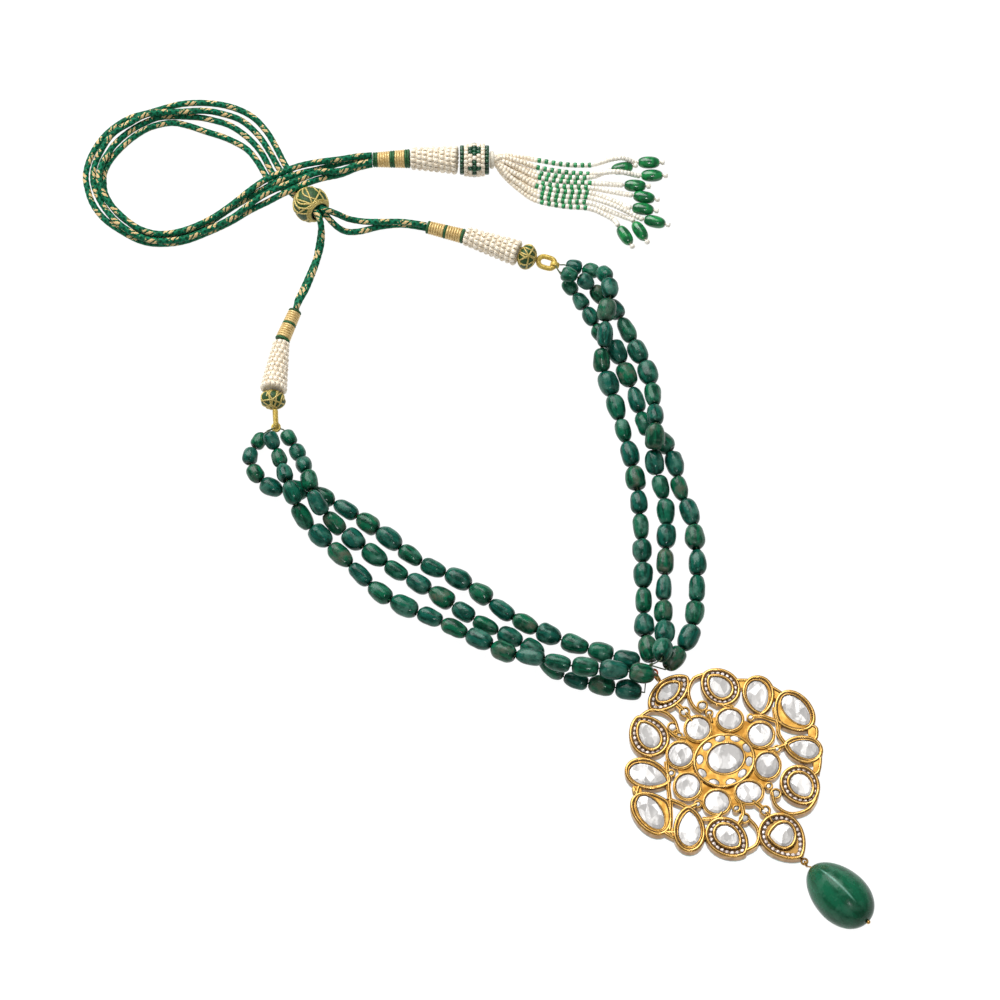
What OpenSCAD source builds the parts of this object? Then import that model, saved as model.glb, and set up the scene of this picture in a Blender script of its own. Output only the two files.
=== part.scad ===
// Necklace of three strings of emerald beads a side, a pierced gold pendant set with
// flat-cut diamonds and an emerald drop, and a green and gold cord with a slider and a
// seed-bead tassel. It lies flat on a surface at z = 0, with the pendant's middle at the
// origin, the neck behind it towards +Y. All sizes are in millimetres.

/* [Pendant] */
// Thickness of the green enamelled back plate
plate_t = 0.9; // [0.6:0.1:0.9]
// Height of the gold rims above the surface
rim_z = 4.4; // [4.2:0.1:4.8]
// Height of the gold ground between the middle settings
ground_z = 3.7; // [3.4:0.1:3.8]
// Height of the stones' tables
table_z = 5.2; // [5:0.1:5.6]
// Width of the gold wall round a stone
bezel_w = 1; // [0.8:0.1:1.1]
// Width of the raised edge outside a channel of tiny stones
edge_w = 0.8; // [0.8:0.1:1.1]

/* [Emerald drop] */
// Length of the drop from end to end
drop_len = 26.5; // [24:0.5:27]
// Greatest width of the drop
drop_wid = 17.5; // [15:0.5:18]

/* [Strings of beads] */
// Mean diameter of a bead
bead_d = 6.2; // [5.4:0.1:6.3]
// Diameter of the hole drilled through a bead
bead_bore = 1.3; // [1.2:0.1:1.6]
// Clearance between neighbouring beads on one thread
bead_gap = 0.3; // [0.2:0.1:0.6]
// Diameter of the silk thread
thread_d = 0.5; // [0.4:0.1:0.6]

/* [Cord and slider] */
// Diameter of one braided cord
cord_d = 2.2; // [1.8:0.1:2.2]
// Diameter of the netted slider
slider_d = 11.7; // [11.6:0.1:12]
// Diameter of the slider's bore
slider_bore = 6; // [6:0.1:6.6]

/* [Ends and tassel] */
// Wire diameter of the wound gold loops
loop_wire = 1.8; // [1.4:0.1:1.8]
// Diameter of a tassel string, which is that of its seed beads
seed_d = 1.7; // [1.4:0.1:1.7]
// Length of an oval tassel bead
oval_len = 7.6; // [6.6:0.2:7.8]
// Diameter of an oval tassel bead
oval_d = 4.2; // [3.8:0.1:4.2]

/* [Hidden] */
// Clearance between pieces that touch on the real necklace
fit = 0.12;
frame_z = plate_t + 0.05;
pocket_z = rim_z - 1.5;
channel_z = rim_z - 0.9;
cord_r = cord_d / 2;
thread_r = thread_d / 2;
channel_wall = 0.8;

// Columns of every setting: x, y, turn, half length, half width, how sharp its first
// end is, how sharp its other end is
OUTER_STONES = [
    [-18.7, 23.0, 42, 4.2, 2.3, 0.3, 0.3],
    [-1.9, 24.9, 133, 4.2, 3.1, 0.35, 0],
    [10.5, 21.5, -80, 5.5, 3.5, 0.35, 0],
    [22.9, 16.7, 129, 6.2, 3.4, 0, 0.1],
    [25.3, 3.4, 165, 5.0, 3.1, 0.5, 0],
    [24.2, -9.1, -57, 4.3, 3.3, 0.2, 0],
    [17.7, -26.1, -176, 3.9, 4.0, 0.5, 0],
    [0.2, -26.6, -43, 4.4, 3.1, 0.3, 0],
    [-12.2, -23.9, 90, 5.9, 3.6, 0.45, 0],
    [-24.7, -18.4, 122, 6.5, 3.5, 0, 0.1],
    [-25.5, -5.7, -19, 6.3, 3.6, 0.4, 0],
    [-25.2, 8.1, 119, 4.7, 3.1, 0.3, 0]
];
// The petals, in the same order, with the same columns
PETALS = [
    [-18.5, 22.6, 42, 8.6, 5.0, 0.3, 0.3],
    [-1.8, 24.8, 133, 7.2, 6.2, 0.15, 0],
    [10.8, 21.8, -82, 7.0, 5.3, 0.3, 0],
    [22.0, 16.0, 217, 6.4, 7.9, 0.4, 0],
    [25.0, 3.4, 165, 6.6, 4.8, 0.35, 0],
    [24.0, -9.2, -57, 7.3, 6.4, 0.2, 0],
    [18.3, -27.0, -50, 9.0, 7.2, 0.45, 0],
    [0.2, -27.2, -43, 8.0, 6.3, 0.3, 0],
    [-12.3, -24.1, 92, 7.9, 5.3, 0.3, 0],
    [-24.0, -18.3, 37, 6.3, 8.3, 0.4, 0],
    [-25.4, -5.4, -19, 7.9, 5.3, 0.35, 0],
    [-25.3, 8.0, 119, 7.7, 6.5, 0.3, 0]
];
// The petals that carry a channel of tiny stones
CHANNELLED = [0, 1, 5, 6, 7, 11];
MID_STONES = [
    [-9.1, 10.3, 132, 3.8, 3.8, 0, 0],
    [1.3, 13.5, 0, 3.8, 3.4, 0, 0],
    [11.2, 8.2, 0, 3.9, 3.9, 0, 0],
    [13.3, -2.3, 90, 4.2, 3.7, 0, 0],
    [7.2, -11.5, 0, 4.1, 3.6, 0, 0],
    [-3.2, -14.9, 0, 3.9, 3.8, 0, 0],
    [-12.6, -9.4, 90, 4.1, 3.9, 0, 0],
    [-14.9, 1.3, 0, 3.9, 4.0, 0, 0]
];
CENTRE_STONE = [-0.2, 0.1, 15, 5.8, 5.0, 0, 0];
HALO = [-0.7, -0.6, 20, 10.4, 9.4, 0, 0];
// Small stones of the halo: x, y, turn
HALO_STONES = [
    [-6.2, 4.2, 40], [-2.0, 7.0, 12], [3.0, 7.0, -15], [6.7, 3.7, -55], [7.4, -0.9, 85],
    [5.1, -5.0, 45], [1.4, -8.0, 12], [-4.1, -8.2, -15], [-7.9, -4.9, -50], [-8.6, -0.3, 85]
];
halo_stone = [1.7, 1.15];
ground_disc = [-0.5, -0.7, 15.5];
// Round accents between the settings: x, y, radius of its setting, radius of its stone
ACCENTS = [
    [-5.4, 15.6, 1.4, 0.75], [8.1, 14.2, 1.4, 0.75], [16.5, 3.4, 1.4, 0.75],
    [13.7, -9.4, 1.4, 0.75], [3.1, -17.0, 1.4, 0.75], [-9.4, -15.6, 1.4, 0.75],
    [-17.9, -5.0, 1.4, 0.75], [-15.3, 7.8, 1.4, 0.75], [-7.6, 18.2, 1.9, 1.15],
    [-13.4, 16.1, 1.9, 1.15], [-17.4, 10.8, 1.9, 1.15], [15.9, -12.0, 1.9, 1.15],
    [12.4, -17.8, 1.9, 1.15], [5.7, -20.4, 1.9, 1.15]
];
// Flat gold wires that join the settings: width, then the points of the middle line. The
// last six are short webs between neighbouring petals.
WIRES = [
    [1.2, [-5.4, 15.6], [-4.6, 12.6]],
    [1.2, [-6.6, 29.2], [-10.2, 27.8], [-12.0, 24.2], [-11.8, 20.8], [-10.4, 17.9], [-7.9, 15.7]],
    [1.2, [-27.6, 14.6], [-24.8, 16.6], [-21.6, 16.6], [-18.9, 15.4], [-16.6, 12.9], [-15.5, 9.0]],
    [1.2, [14.9, -11.5], [15.4, -15.1], [17.5, -17.5], [20.2, -18.8], [23.4, -18.6], [26.8, -17.0],
        [29.0, -13.6]],
    [1.2, [7.0, -20.6], [9.4, -23.3], [10.2, -26.5], [9.2, -29.6], [6.0, -31.4]],
    [1.4, [15.8, 17.7], [16.2, 14.2], [16.9, 11.6], [17.2, 8.2], [19.4, 4.8]],
    [1.4, [8.6, 14.5], [11.5, 14.7], [14.4, 13.7], [18.2, 12.3]],
    [1.4, [19.8, 5.0], [16.5, 3.6], [13.5, 3.0]],
    [1.4, [-19.6, -1.0], [-19.0, -7.3], [-18.8, -10.7], [-18.4, -14.5], [-18.2, -21.4], [-18.6, -24.4]],
    [1.4, [-19.4, -13.6], [-15.2, -15.4], [-12.4, -16.7], [-9.3, -15.4]],
    [1.6, [7.6, -13.6], [12.3, -17.8], [14.6, -21.6]],
    [1.6, [-10.4, 11.8], [-13.4, 16.2], [-16.6, 19.4]],
    [1.4, [4.4, -14.6], [5.4, -19.2], [3.6, -22.4]],
    [1.4, [-18.6, 9.8], [-16.4, 7.8], [-13.2, 6.8]],
    [1.4, [-3.2, 18.8], [-0.6, 18.6], [2.4, 17.6]],
    [1.4, [-1.6, -18.4], [-3.6, -20.4], [-8.0, -20.6]],
    [3, [3.6, 25.9], [7.1, 25.9]],
    [3, [14.7, 23.6], [17.5, 21.7]],
    [3, [28.3, 10.8], [28.2, 6.9]],
    [2.4, [29.8, 0.4], [29.2, -4.6]],
    [3, [-19.7, -24.4], [-16, -26.4]],
    [2.6, [-29.3, -9.3], [-28.6, -13]]
];
// The bail and the rings that hang from it lie on one line that leaves the pendant
bail_at = [-22.3, 28.5, 2.9];
bail_dir = [-0.597, 0.802, 0];
bail_r = 1.5;
bail_wire = 0.5;
tie_at = bail_at + 1.83 * bail_dir;
tie_r = 1.3;
tie_wire = 0.35;
knot_at = bail_at + 3.66 * bail_dir;
knot_r = 1.25;
// The drop's eye stands at the lowest petal's tip
eye_at = [24.9, -34.7, 3.0];
eye_r = 0.95;
eye_wire = 0.38;
pin_wire = 0.28;
pin_dir = [0.44, -0.898, 0];
drop_dir = unit([0.659, -0.732, 0.174]);
drop_tilt = 10;
drop_fat = 0.12;
drop_bore = 0.9;
drop_at = [35.7, -47.7, drop_low() + 0.1];

// Strings of beads: number of beads, a turn that shifts the pattern of their sizes, then
// the route of their middles from the gold loop to the bail as x, y and how far the
// string is lifted off the surface
LEFT_UPPER = [19, 60, [
    [-153.2, 111.6, 0], [-156.1, 106, 0], [-153.7, 99.2, 0], [-147.4, 94.3, 0], [-139.5, 93.5, 0],
    [-129.6, 90.4, 0], [-115.3, 80.9, 0], [-100.5, 69.3, 0], [-85.5, 61.7, 0], [-71.7, 51.1, 0],
    [-55.9, 42.4, 0], [-32.2, 34.4, 0]
]];
LEFT_MIDDLE = [19, 200, [
    [-143.4, 112.6, 0], [-141, 108.5, 0], [-139.3, 104.5, 1], [-136.9, 97.9, 4.5],
    [-134.9, 89.5, 6], [-129.9, 83.9, 2], [-124, 78.3, 0], [-110, 67.3, 0], [-94.9, 57.7, 0],
    [-80.8, 48, 0], [-64.4, 38.9, 0], [-56.6, 31.6, 0], [-48.8, 27.5, 0], [-31.5, 24, 0]
]];
LEFT_LOWER = [19, 310, [
    [-148.9, 109.7, 5], [-146.2, 103.5, 4], [-143.5, 94.4, 6.9], [-140.4, 87.5, 4.4],
    [-136.4, 81.6, 0], [-123.1, 68.2, 0], [-110.6, 56.2, 0], [-94, 48.3, 0], [-78.1, 39.4, 3],
    [-70.5, 35.2, 3.8], [-61.6, 33.4, 5.7], [-52.7, 30.7, 6.4], [-43.5, 29.5, 6.1],
    [-34.9, 28.8, 5.4], [-27.3, 27.9, 4.9]
]];
RIGHT_INNER = [19, 120, [
    [-48.9, 174, 0], [-43.5, 172.6, 0], [-38.6, 169.7, 3.2], [-37.0, 161.6, 6.7], [-38.3, 154.7, 5.6],
    [-38.8, 146.3, 5.8], [-39.9, 138.9, 2.2], [-37.3, 130.9, 0], [-32.6, 114.3, 0],
    [-28.9, 98.2, 0], [-27.3, 81.8, 0], [-26.5, 63.5, 0], [-26.4, 46, 0], [-25, 38.2, 0]
]];
RIGHT_MIDDLE = [19, 260, [
    [-50.5, 168.8, 5.4], [-45.4, 166.9, 4.8], [-40, 163, 0.3], [-34.3, 156.8, 0],
    [-28.0, 143.6, 0], [-24.8, 136.6, 0], [-23.2, 128.8, 2], [-22.4, 120.5, 5],
    [-22.3, 111.9, 7.4], [-22.7, 103.8, 1.6], [-19, 87.6, 0], [-19.2, 70.2, 0], [-20.1, 53.9, 0],
    [-19.6, 45.4, 1.5], [-20.6, 35.1, 7.2]
]];
RIGHT_OUTER = [18, 20, [
    [-50.2, 166.6, 0], [-46.8, 161.5, 0.4], [-43.6, 156, 0.4], [-40.6, 150.6, 0],
    [-35.6, 144.6, 0], [-30, 131, 0],
    [-24.9, 115.9, 0], [-18, 109, 0], [-15.5, 101.5, 0], [-13.9, 92.9, 0], [-10.7, 84.9, 0],
    [-8.7, 68, 0], [-9.9, 50.2, 0], [-12.2, 41.3, 0], [-16.7, 34.4, 1.1]
]];
// The first beads of a string are small, as shares of a full bead's length and diameter,
// and the last two are wide
FIRST_LEN = [0.68, 0.7, 0.76, 0.9];
FIRST_DIA = [0.84, 0.86, 0.9, 0.96];
last_dia = 1.1;

// Ends: binding, cone, knob and loop, each laid from one point to the next
LEFT_WRAP = [[-141.7, 158.2, 2.4], [-146.0, 147.3, 2.9]];
LEFT_CONE = [[-146.2, 146.7, 3.0], [-148.7, 128.6, 4.8]];
LEFT_KNOB = [-148.8, 125.6, 4.2];
LEFT_LOOP = [[-148.0, 122.6, 3.6], [-147.6, 115.2, 3.4]];
RIGHT_WRAP = [[-98.0, 188.6, 2.4], [-85.6, 185.0, 2.8]];
RIGHT_CONE = [[-85.1, 184.9, 3.5], [-67.4, 178.0, 4.7]];
RIGHT_KNOB = [-64.5, 177.0, 4.2];
RIGHT_LOOP = [[-61.6, 176.4, 3.4], [-54.4, 174.5, 2.6]];
TASSEL_WRAP = [[-116.2, 212.9, 2.8], [-103.8, 213.0, 3.6]];
TASSEL_CONE = [[-103.3, 213.0, 4.0], [-87.7, 211.8, 5.1]];
TASSEL_BARREL = [[-87.0, 211.5, 5.9], [-77.2, 211.5, 5.9]];
wrap_d = [4.5, 5.2];
tassel_wrap_d = [5.1, 6.6];
knob_len = 5.8;
knob_d = 8.2;
loop_height = 5.6;
barrel_d = 11.6;
head_d = 6;
head_len = 1.6;
// Tassel strings fan out past stations along x, with the height of each station
STATION_X = [-72.6, -66.8, -61.1, -51.8, -43.4, -36.0, -32.0];
STATION_Z = [3.4, 1.9, 0.85, 0.85, 0.85, 0.85, 0.85];
// One row a string: y at each station, how far its last two stations are lifted, then
// the oval bead's x, y and heading
STRINGS = [
    [214.2, 214.3, 213.6, 212.0, 211.8, 212.4, 212.8, 3.7, -23.6, 212.2, 0],
    [212.9, 212.1, 210.7, 209.2, 208.5, 207.9, 207.6, 3.5, -22.6, 207.4, 0],
    [211.8, 210.6, 208.9, 207.4, 207.3, 208.8, 209.0, 0, -32.6, 210.1, 12],
    [211.4, 209.5, 207.2, 205.7, 205.2, 204.7, 204.0, 0, -28.3, 203.7, -3],
    [210.3, 208.1, 205.5, 203.9, 203.5, 202.0, 201.2, 0, -25.3, 199.5, -10],
    [209.6, 206.6, 203.8, 202.1, 201.7, 198.9, 197.0, 0, -25.7, 195.2, -8],
    [208.9, 205.1, 202.1, 200.3, 199.9, 196.6, 194.6, 1.7, -21.8, 190.6, -14],
    [208.1, 203.7, 200.4, 198.5, 197.9, 194.6, 192.9, 0, -26.8, 187.2, -58],
    [207.4, 202.2, 198.7, 196.7, 195.9, 192.2, 190.0, 0, -31.8, 185.6, -58]
];
oval_z = 2.2;

// Slider: middle, bore direction and the way across it; the bore dips towards its far end
slider_at = [-136.8, 195.3, slider_d / 2 + 0.02];
slider_dir = unit([0.62, -0.76, 0.4]);
slider_across = unit([0.78, 0.63, 0]);
// Cords, as points on the surface in x, y and height. Each runs from a binding to the
// slider, and from the slider round the wide loop to the tassel's binding.
CORD_1_IN = [
    [-102.5, 189.5, 3.45], [-107, 190, 3.45], [-113.5, 190, 3.4], [-119, 190.6, 2.3],
    [-124, 191.1, 3.2], [-127.6, 191.4, 6.4], [-130.5, 191.6, 8.9]
];
CORD_1_OUT = [
    [-143, 206.6, 3.0], [-145.7, 211.5, 2.0], [-149, 218.6, 1.1], [-152.2, 224.2, 1.1],
    [-157, 229.5, 1.1], [-164, 233, 1.1], [-172.5, 234.5, 1.1], [-181.5, 234, 1.1],
    [-191.5, 231, 1.1], [-199, 228.5, 1.1], [-206, 223, 1.1], [-210.5, 216, 1.1],
    [-212.5, 209, 1.1], [-212, 203.5, 1.1], [-210, 197.5, 1.1], [-206, 192, 1.1],
    [-200, 187.5, 1.1], [-193.5, 184, 1.1], [-187, 183, 1.1], [-179, 184, 1.1],
    [-170.5, 187.5, 1.1], [-163.5, 191, 1.3], [-157.5, 194.5, 2.2], [-151, 197.3, 3.8],
    [-146, 199.2, 6.0], [-140.5, 201.6, 6.7], [-134, 205.2, 4.4], [-127, 208, 1.8],
    [-121.5, 210.5, 1.5]
];
CORD_2_IN = [
    [-102.5, 189.5, 1.2], [-107, 190, 1.1], [-113.5, 189.3, 1.1], [-120, 187.6, 1.1],
    [-124.5, 186.9, 2.2], [-127.5, 187.4, 4.4], [-130.2, 189.2, 6.6]
];
CORD_2_OUT = [
    [-144.3, 205.7, 1.1], [-147.5, 210, 1.1], [-151.1, 216.8, 1.1], [-155, 222.8, 1.1],
    [-160.5, 228, 1.1], [-167, 230.3, 1.6], [-173, 230.8, 3.0], [-180.5, 230.3, 3.4],
    [-191.5, 229.6, 3.4], [-198, 226.2, 3.3], [-203.9, 222.2, 2.9], [-207.8, 216.2, 1.7],
    [-209.8, 211, 1.1], [-210, 205.5, 1.1], [-208.3, 200.3, 1.1], [-206, 195.9, 1.6],
    [-202.6, 191, 3.1], [-198.3, 187.2, 3.4], [-193, 184.2, 3.4], [-187, 183, 3.4],
    [-179, 184, 3.4], [-170.5, 187.5, 3.4], [-163, 191.5, 3.6], [-157, 196, 4.8],
    [-152, 199.2, 5.9], [-146, 202, 6.2], [-140.5, 204.4, 6.2], [-134, 207, 6.0],
    [-127, 208.2, 4.3], [-121.5, 210.6, 3.9]
];
CORD_3_IN = [
    [-141, 162.5, 1.2], [-139.5, 166, 1.1], [-136.5, 173.5, 1.1], [-135, 177.5, 1.1],
    [-134.3, 181.3, 1.6], [-133.6, 184.6, 3.9], [-133.3, 187.4, 6.3]
];
CORD_3_OUT = [
    [-146.2, 204.2, 1.1], [-149.7, 208.3, 1.1], [-153.6, 216, 1.1], [-158.2, 221.6, 1.1],
    [-164, 226, 1.1], [-169.5, 228, 1.1], [-176, 229.3, 1.1], [-186.5, 229.5, 1.1],
    [-192, 227.8, 1.1], [-198, 224.2, 1.1], [-202.8, 219.5, 1.4], [-205.2, 215.1, 2.7],
    [-207, 211.5, 3.3], [-208, 206, 3.4], [-207, 201.5, 3.4], [-205, 197.7, 3.4],
    [-202.2, 194.3, 3.4], [-198.2, 190.4, 3.4], [-193.5, 187.2, 3.4], [-187, 185.6, 3.4],
    [-179, 187, 3.4], [-170.5, 191, 3.4], [-163.5, 196, 3.7], [-157, 201, 5.1],
    [-152, 204.3, 6.0], [-146.5, 207, 6.0], [-140.5, 209.4, 5.9], [-134, 211.2, 5.0],
    [-127, 212.5, 4.3], [-121.5, 213.6, 4.0]
];
CORD_4_IN = [
    [-140, 162, 3.5], [-138, 166, 3.45], [-135.5, 173, 3.4], [-134.2, 177.5, 3.4],
    [-133.3, 180.8, 4.6], [-133, 184.2, 7.2], [-133.5, 187.5, 9.3]
];
CORD_4_OUT = [
    [-147.4, 202.9, 2.9], [-151.4, 206.6, 1.6], [-155.2, 213.2, 1.1], [-159, 217.8, 1.1],
    [-165.5, 221.5, 1.1], [-172.5, 224, 1.1], [-179, 226.3, 1.1], [-184.5, 227.2, 1.1],
    [-191.3, 225.5, 1.1], [-196.5, 222.2, 1.1], [-201, 217.9, 1.1], [-204.5, 213.3, 1.1],
    [-206.4, 208.8, 1.1], [-206.5, 205.5, 1.1], [-206, 201.5, 1.1], [-204, 197.5, 1.1],
    [-201.5, 194, 1.1], [-197.5, 190.5, 1.1], [-193.5, 187.5, 1.1], [-187.5, 185.5, 1.1],
    [-179, 187, 1.1], [-170.5, 191, 1.1], [-163.5, 196, 1.2], [-157.5, 199.3, 2.6],
    [-152, 202, 4.4], [-146.5, 204.5, 5.6], [-140.5, 206.9, 5.2], [-134, 209.5, 3.0],
    [-127.5, 212, 1.8], [-121.5, 213.6, 1.6]
];

// Vectors and routes
function unit(v) = v / norm(v);
function across(d) = unit(cross(d, [0, 0, 1]));
function last(list) = list[len(list) - 1];
function spline(p0, p1, p2, p3, t) =
    0.5 * (2 * p1 + (p2 - p0) * t + (2 * p0 - 5 * p1 + 4 * p2 - p3) * t * t
        + (3 * p1 - p0 - 3 * p2 + p3) * t * t * t);
function smooth(p, steps) = concat(
    [for (i = [0 : len(p) - 2], j = [0 : steps - 1])
        spline(p[max(i - 1, 0)], p[i], p[i + 1], p[min(i + 2, len(p) - 1)], j / steps)],
    [last(p)]
);
function settled(p, lowest) = [for (q = p) [q[0], q[1], max(q[2], lowest)]];
function run(p) = [
    for (i = 0, s = 0; i < len(p); s = s + (i < len(p) - 1 ? norm(p[i + 1] - p[i]) : 0), i = i + 1) s
];
function rail(p) = let (s = run(p)) [for (k = [0 : 2]) [for (i = [0 : len(p) - 1]) [s[i], p[i][k]]]];
function rail_len(r) = last(r[0])[0];
function at(r, s) = [lookup(s, r[0]), lookup(s, r[1]), lookup(s, r[2])];
function evenly(r, steps) = [for (i = [0 : steps]) at(r, rail_len(r) * i / steps)];

// Outline of a petal or stone, grown by a margin
function petal(r, grow, sides) = let (
    first = (1 + r[5]) / (2 + r[5] + r[6]),
    peak = 2 * pow(first, (1 + r[5]) / 2) * pow(1 - first, (1 + r[6]) / 2)
) [
    for (i = [0 : sides - 1]) let (
        t = 360 * i / sides,
        x = (r[3] + grow) * cos(t),
        y = (r[4] + grow) * sin(t) * pow(abs(sin(t / 2)), r[5]) * pow(abs(cos(t / 2)), r[6]) / peak
    ) [r[0] + x * cos(r[2]) - y * sin(r[2]), r[1] + x * sin(r[2]) + y * cos(r[2])]
];
function toward(p, c, share) = [c[0] + (p[0] - c[0]) * share, c[1] + (p[1] - c[1]) * share];

// Radius of the drop at a share of the way round its outline
function drop_x(t) = -drop_len / 2 * cos(t);
function drop_r(t) = drop_wid / 2 * sin(t) * (1 - drop_fat * cos(t)) / (1 + drop_fat * drop_fat);
function drop_low() = max([for (t = [0 : 5 : 180]) drop_r(t) * cos(drop_tilt) - drop_x(t) * sin(drop_tilt)]);

// Length, diameter and taper of bead i of a string, each with its own slow pattern
function bead_share(i, s) = i < len(FIRST_LEN) ? FIRST_LEN[i] : 1 + 0.06 * sin(137 * i + s[1]);
function bead_width(i, s) = bead_d * (
    i < len(FIRST_DIA) ? FIRST_DIA[i] : i > s[0] - 3 ? last_dia : 1 + 0.11 * sin(97 * i + s[1])
);
function bead_taper(i, s) = 0.14 * sin(61 * i + s[1]);
function shares(s) = [for (i = 0, sum = 0; i < s[0]; sum = sum + bead_share(i, s), i = i + 1) sum];
// Columns of a bead: middle, direction, length, diameter, taper. Each bead lies on the
// surface or on what lifts it.
function beads(s) = let (
    r = rail(settled(smooth(s[2], 6), 0)),
    n = s[0],
    before = shares(s),
    first = bead_share(0, s) / 2,
    whole = last(before) + bead_share(n - 1, s) / 2 - first,
    one = rail_len(r) / whole
) [
    for (i = [0 : n - 1]) let (
        pitch = one * bead_share(i, s),
        mid = one * (before[i] + bead_share(i, s) / 2 - first),
        a = at(r, max(mid - pitch / 2, 0)),
        b = at(r, min(mid + pitch / 2, rail_len(r))),
        width = bead_width(i, s)
    ) [at(r, mid) + [0, 0, width / 2 + 0.15], unit(b - a), pitch - bead_gap, width, bead_taper(i, s)]
];
function thread_path(s, start, finish) = let (
    row = beads(s),
    inside = [for (b = row, e = [-1, 1]) b[0] + e * b[2] / 2 * b[1]],
    entry = row[0][0] - (row[0][2] / 2 + 0.6) * row[0][1],
    exit = last(row)[0] + (last(row)[2] / 2 + 0.8) * last(row)[1]
) concat(
    [start + (loop_ring_r + thread_r + fit) * unit(entry - start), entry],
    inside,
    [exit, finish + (knot_r + thread_r + fit) * unit(unit(exit - finish) + 0.9 * bail_dir + [0, 0, 0.6])]
);

// The rings of the threads sit round the outer wire of each gold loop
loop_ring_r = 1.3;
function loop_end(l) = l[1] - loop_wire / 2 * unit(l[1] - l[0]);

// Points of a cord where it leaves a binding or the slider
function wrap_face(w, side, up) =
    w[0] + 0.3 * unit(w[0] - w[1]) + side * across(w[1] - w[0]) + up * [0, 0, 1];
function slider_lane(side, up) = let (lane = (cord_r + 0.08)) [
    for (e = [5.6, 0, -5.6, -9]) slider_at + e * slider_dir
        + side * lane * slider_across + up * lane * unit(cross(slider_dir, slider_across))
];
function cord_route(from, lead, side, up, wide, to) = concat([from], lead, slider_lane(side, up), wide, [to]);
half_pitch = cord_r + 0.06;
CORD_1 = cord_route(wrap_face(RIGHT_WRAP, 0, half_pitch), CORD_1_IN, 1, 1, CORD_1_OUT,
    wrap_face(TASSEL_WRAP, half_pitch, -half_pitch));
CORD_2 = cord_route(wrap_face(RIGHT_WRAP, 0, -half_pitch), CORD_2_IN, 1, -1, CORD_2_OUT,
    wrap_face(TASSEL_WRAP, half_pitch, half_pitch));
CORD_3 = cord_route(wrap_face(LEFT_WRAP, 0, -half_pitch), CORD_3_IN, -1, -1, CORD_3_OUT,
    wrap_face(TASSEL_WRAP, -half_pitch, half_pitch));
CORD_4 = cord_route(wrap_face(LEFT_WRAP, 0, half_pitch), CORD_4_IN, -1, 1, CORD_4_OUT,
    wrap_face(TASSEL_WRAP, -half_pitch, -half_pitch));

// Building blocks
module turn_to(d) {
    u = unit(d);
    rotate([0, acos(u[2]), atan2(u[1], u[0])]) children();
}
module loft(rings) {
    n = len(rings[0]);
    top = (len(rings) - 1) * n;
    polyhedron(
        points = [for (ring = rings, p = ring) p],
        faces = concat(
            [[for (j = [0 : n - 1]) j]],
            [for (i = [0 : len(rings) - 2], j = [0 : n - 1], half = [0, 1])
                half == 0 ? [i * n + j, (i + 1) * n + j, (i + 1) * n + (j + 1) % n]
                    : [i * n + j, (i + 1) * n + (j + 1) % n, i * n + (j + 1) % n]],
            [[for (j = [n - 1 : -1 : 0]) top + j]]
        )
    );
}
module tube(p, r, sides) {
    n = len(p);
    loft([for (i = [0 : n - 1]) let (
        d = unit(p[min(i + 1, n - 1)] - p[max(i - 1, 0)]),
        a = across(d),
        b = cross(d, a),
        size = is_list(r) ? r[i] : r
    ) [for (j = [0 : sides - 1]) p[i] + size * (cos(360 * j / sides) * a + sin(360 * j / sides) * b)]]);
}
// A turned shape whose profile runs from z = 0 at one point to its length at the other
module turned(from, to, profile) {
    translate(from) turn_to(to - from) rotate_extrude($fn = 48) polygon(profile(norm(to - from)));
}
module ring(middle, axis, r, wire) {
    translate(middle) turn_to(axis) rotate_extrude($fn = 32) translate([r, 0]) circle(wire, $fn = 16);
}
module rod(from, to, r) {
    translate(from) turn_to(to - from) cylinder(r = r, h = norm(to - from), $fn = 16);
}
module outline(row, grow = 0) {
    polygon(petal(row, grow, 28));
}
module band(w) {
    p = smooth([for (i = [1 : len(w) - 1]) [w[i][0], w[i][1], 0]], 3);
    n = len(p);
    side = [for (i = [0 : n - 1]) w[0] / 2 * across(p[min(i + 1, n - 1)] - p[max(i - 1, 0)])];
    polygon(concat(
        [for (i = [0 : n - 1]) [p[i][0] + side[i][0], p[i][1] + side[i][1]]],
        [for (i = [n - 1 : -1 : 0]) [p[i][0] - side[i][0], p[i][1] - side[i][1]]]
    ));
}
// A flat-cut stone: base, girdle, crown facets and a table
module cut_stone(row, top, sides = 14) {
    c = [row[0], row[1]];
    girdle = petal(row, 0, sides);
    loft([
        for (s = [[0.9, pocket_z + 0.1], [1, rim_z - 0.3], [0.8, top - 0.25], [0.5, top]])
            [for (p = girdle) concat(toward(p, c, s[0]), [s[1]])]
    ]);
}

// Pendant
module all_petals() {
    for (r = PETALS) outline(r);
}
module middle_settings() {
    for (r = MID_STONES) outline(r, bezel_w);
    outline(HALO);
    for (a = ACCENTS) translate([a[0], a[1]]) circle(a[2], $fn = 24);
    for (w = WIRES) band(w);
}
module plan() {
    all_petals();
    middle_settings();
    translate([ground_disc[0], ground_disc[1]]) circle(ground_disc[2], $fn = 64);
}
module lowered_ground() {
    difference() {
        translate([ground_disc[0], ground_disc[1]]) circle(ground_disc[2] + 0.5, $fn = 64);
        all_petals();
        middle_settings();
    }
}
module pocket(row, floor_z, margin) {
    translate([0, 0, floor_z]) linear_extrude(rim_z + 2 - floor_z) outline(row, margin);
}
module channel(i) {
    translate([0, 0, channel_z]) linear_extrude(2) difference() {
        outline(PETALS[i], -edge_w);
        outline(OUTER_STONES[i], channel_wall);
    }
}
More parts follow.
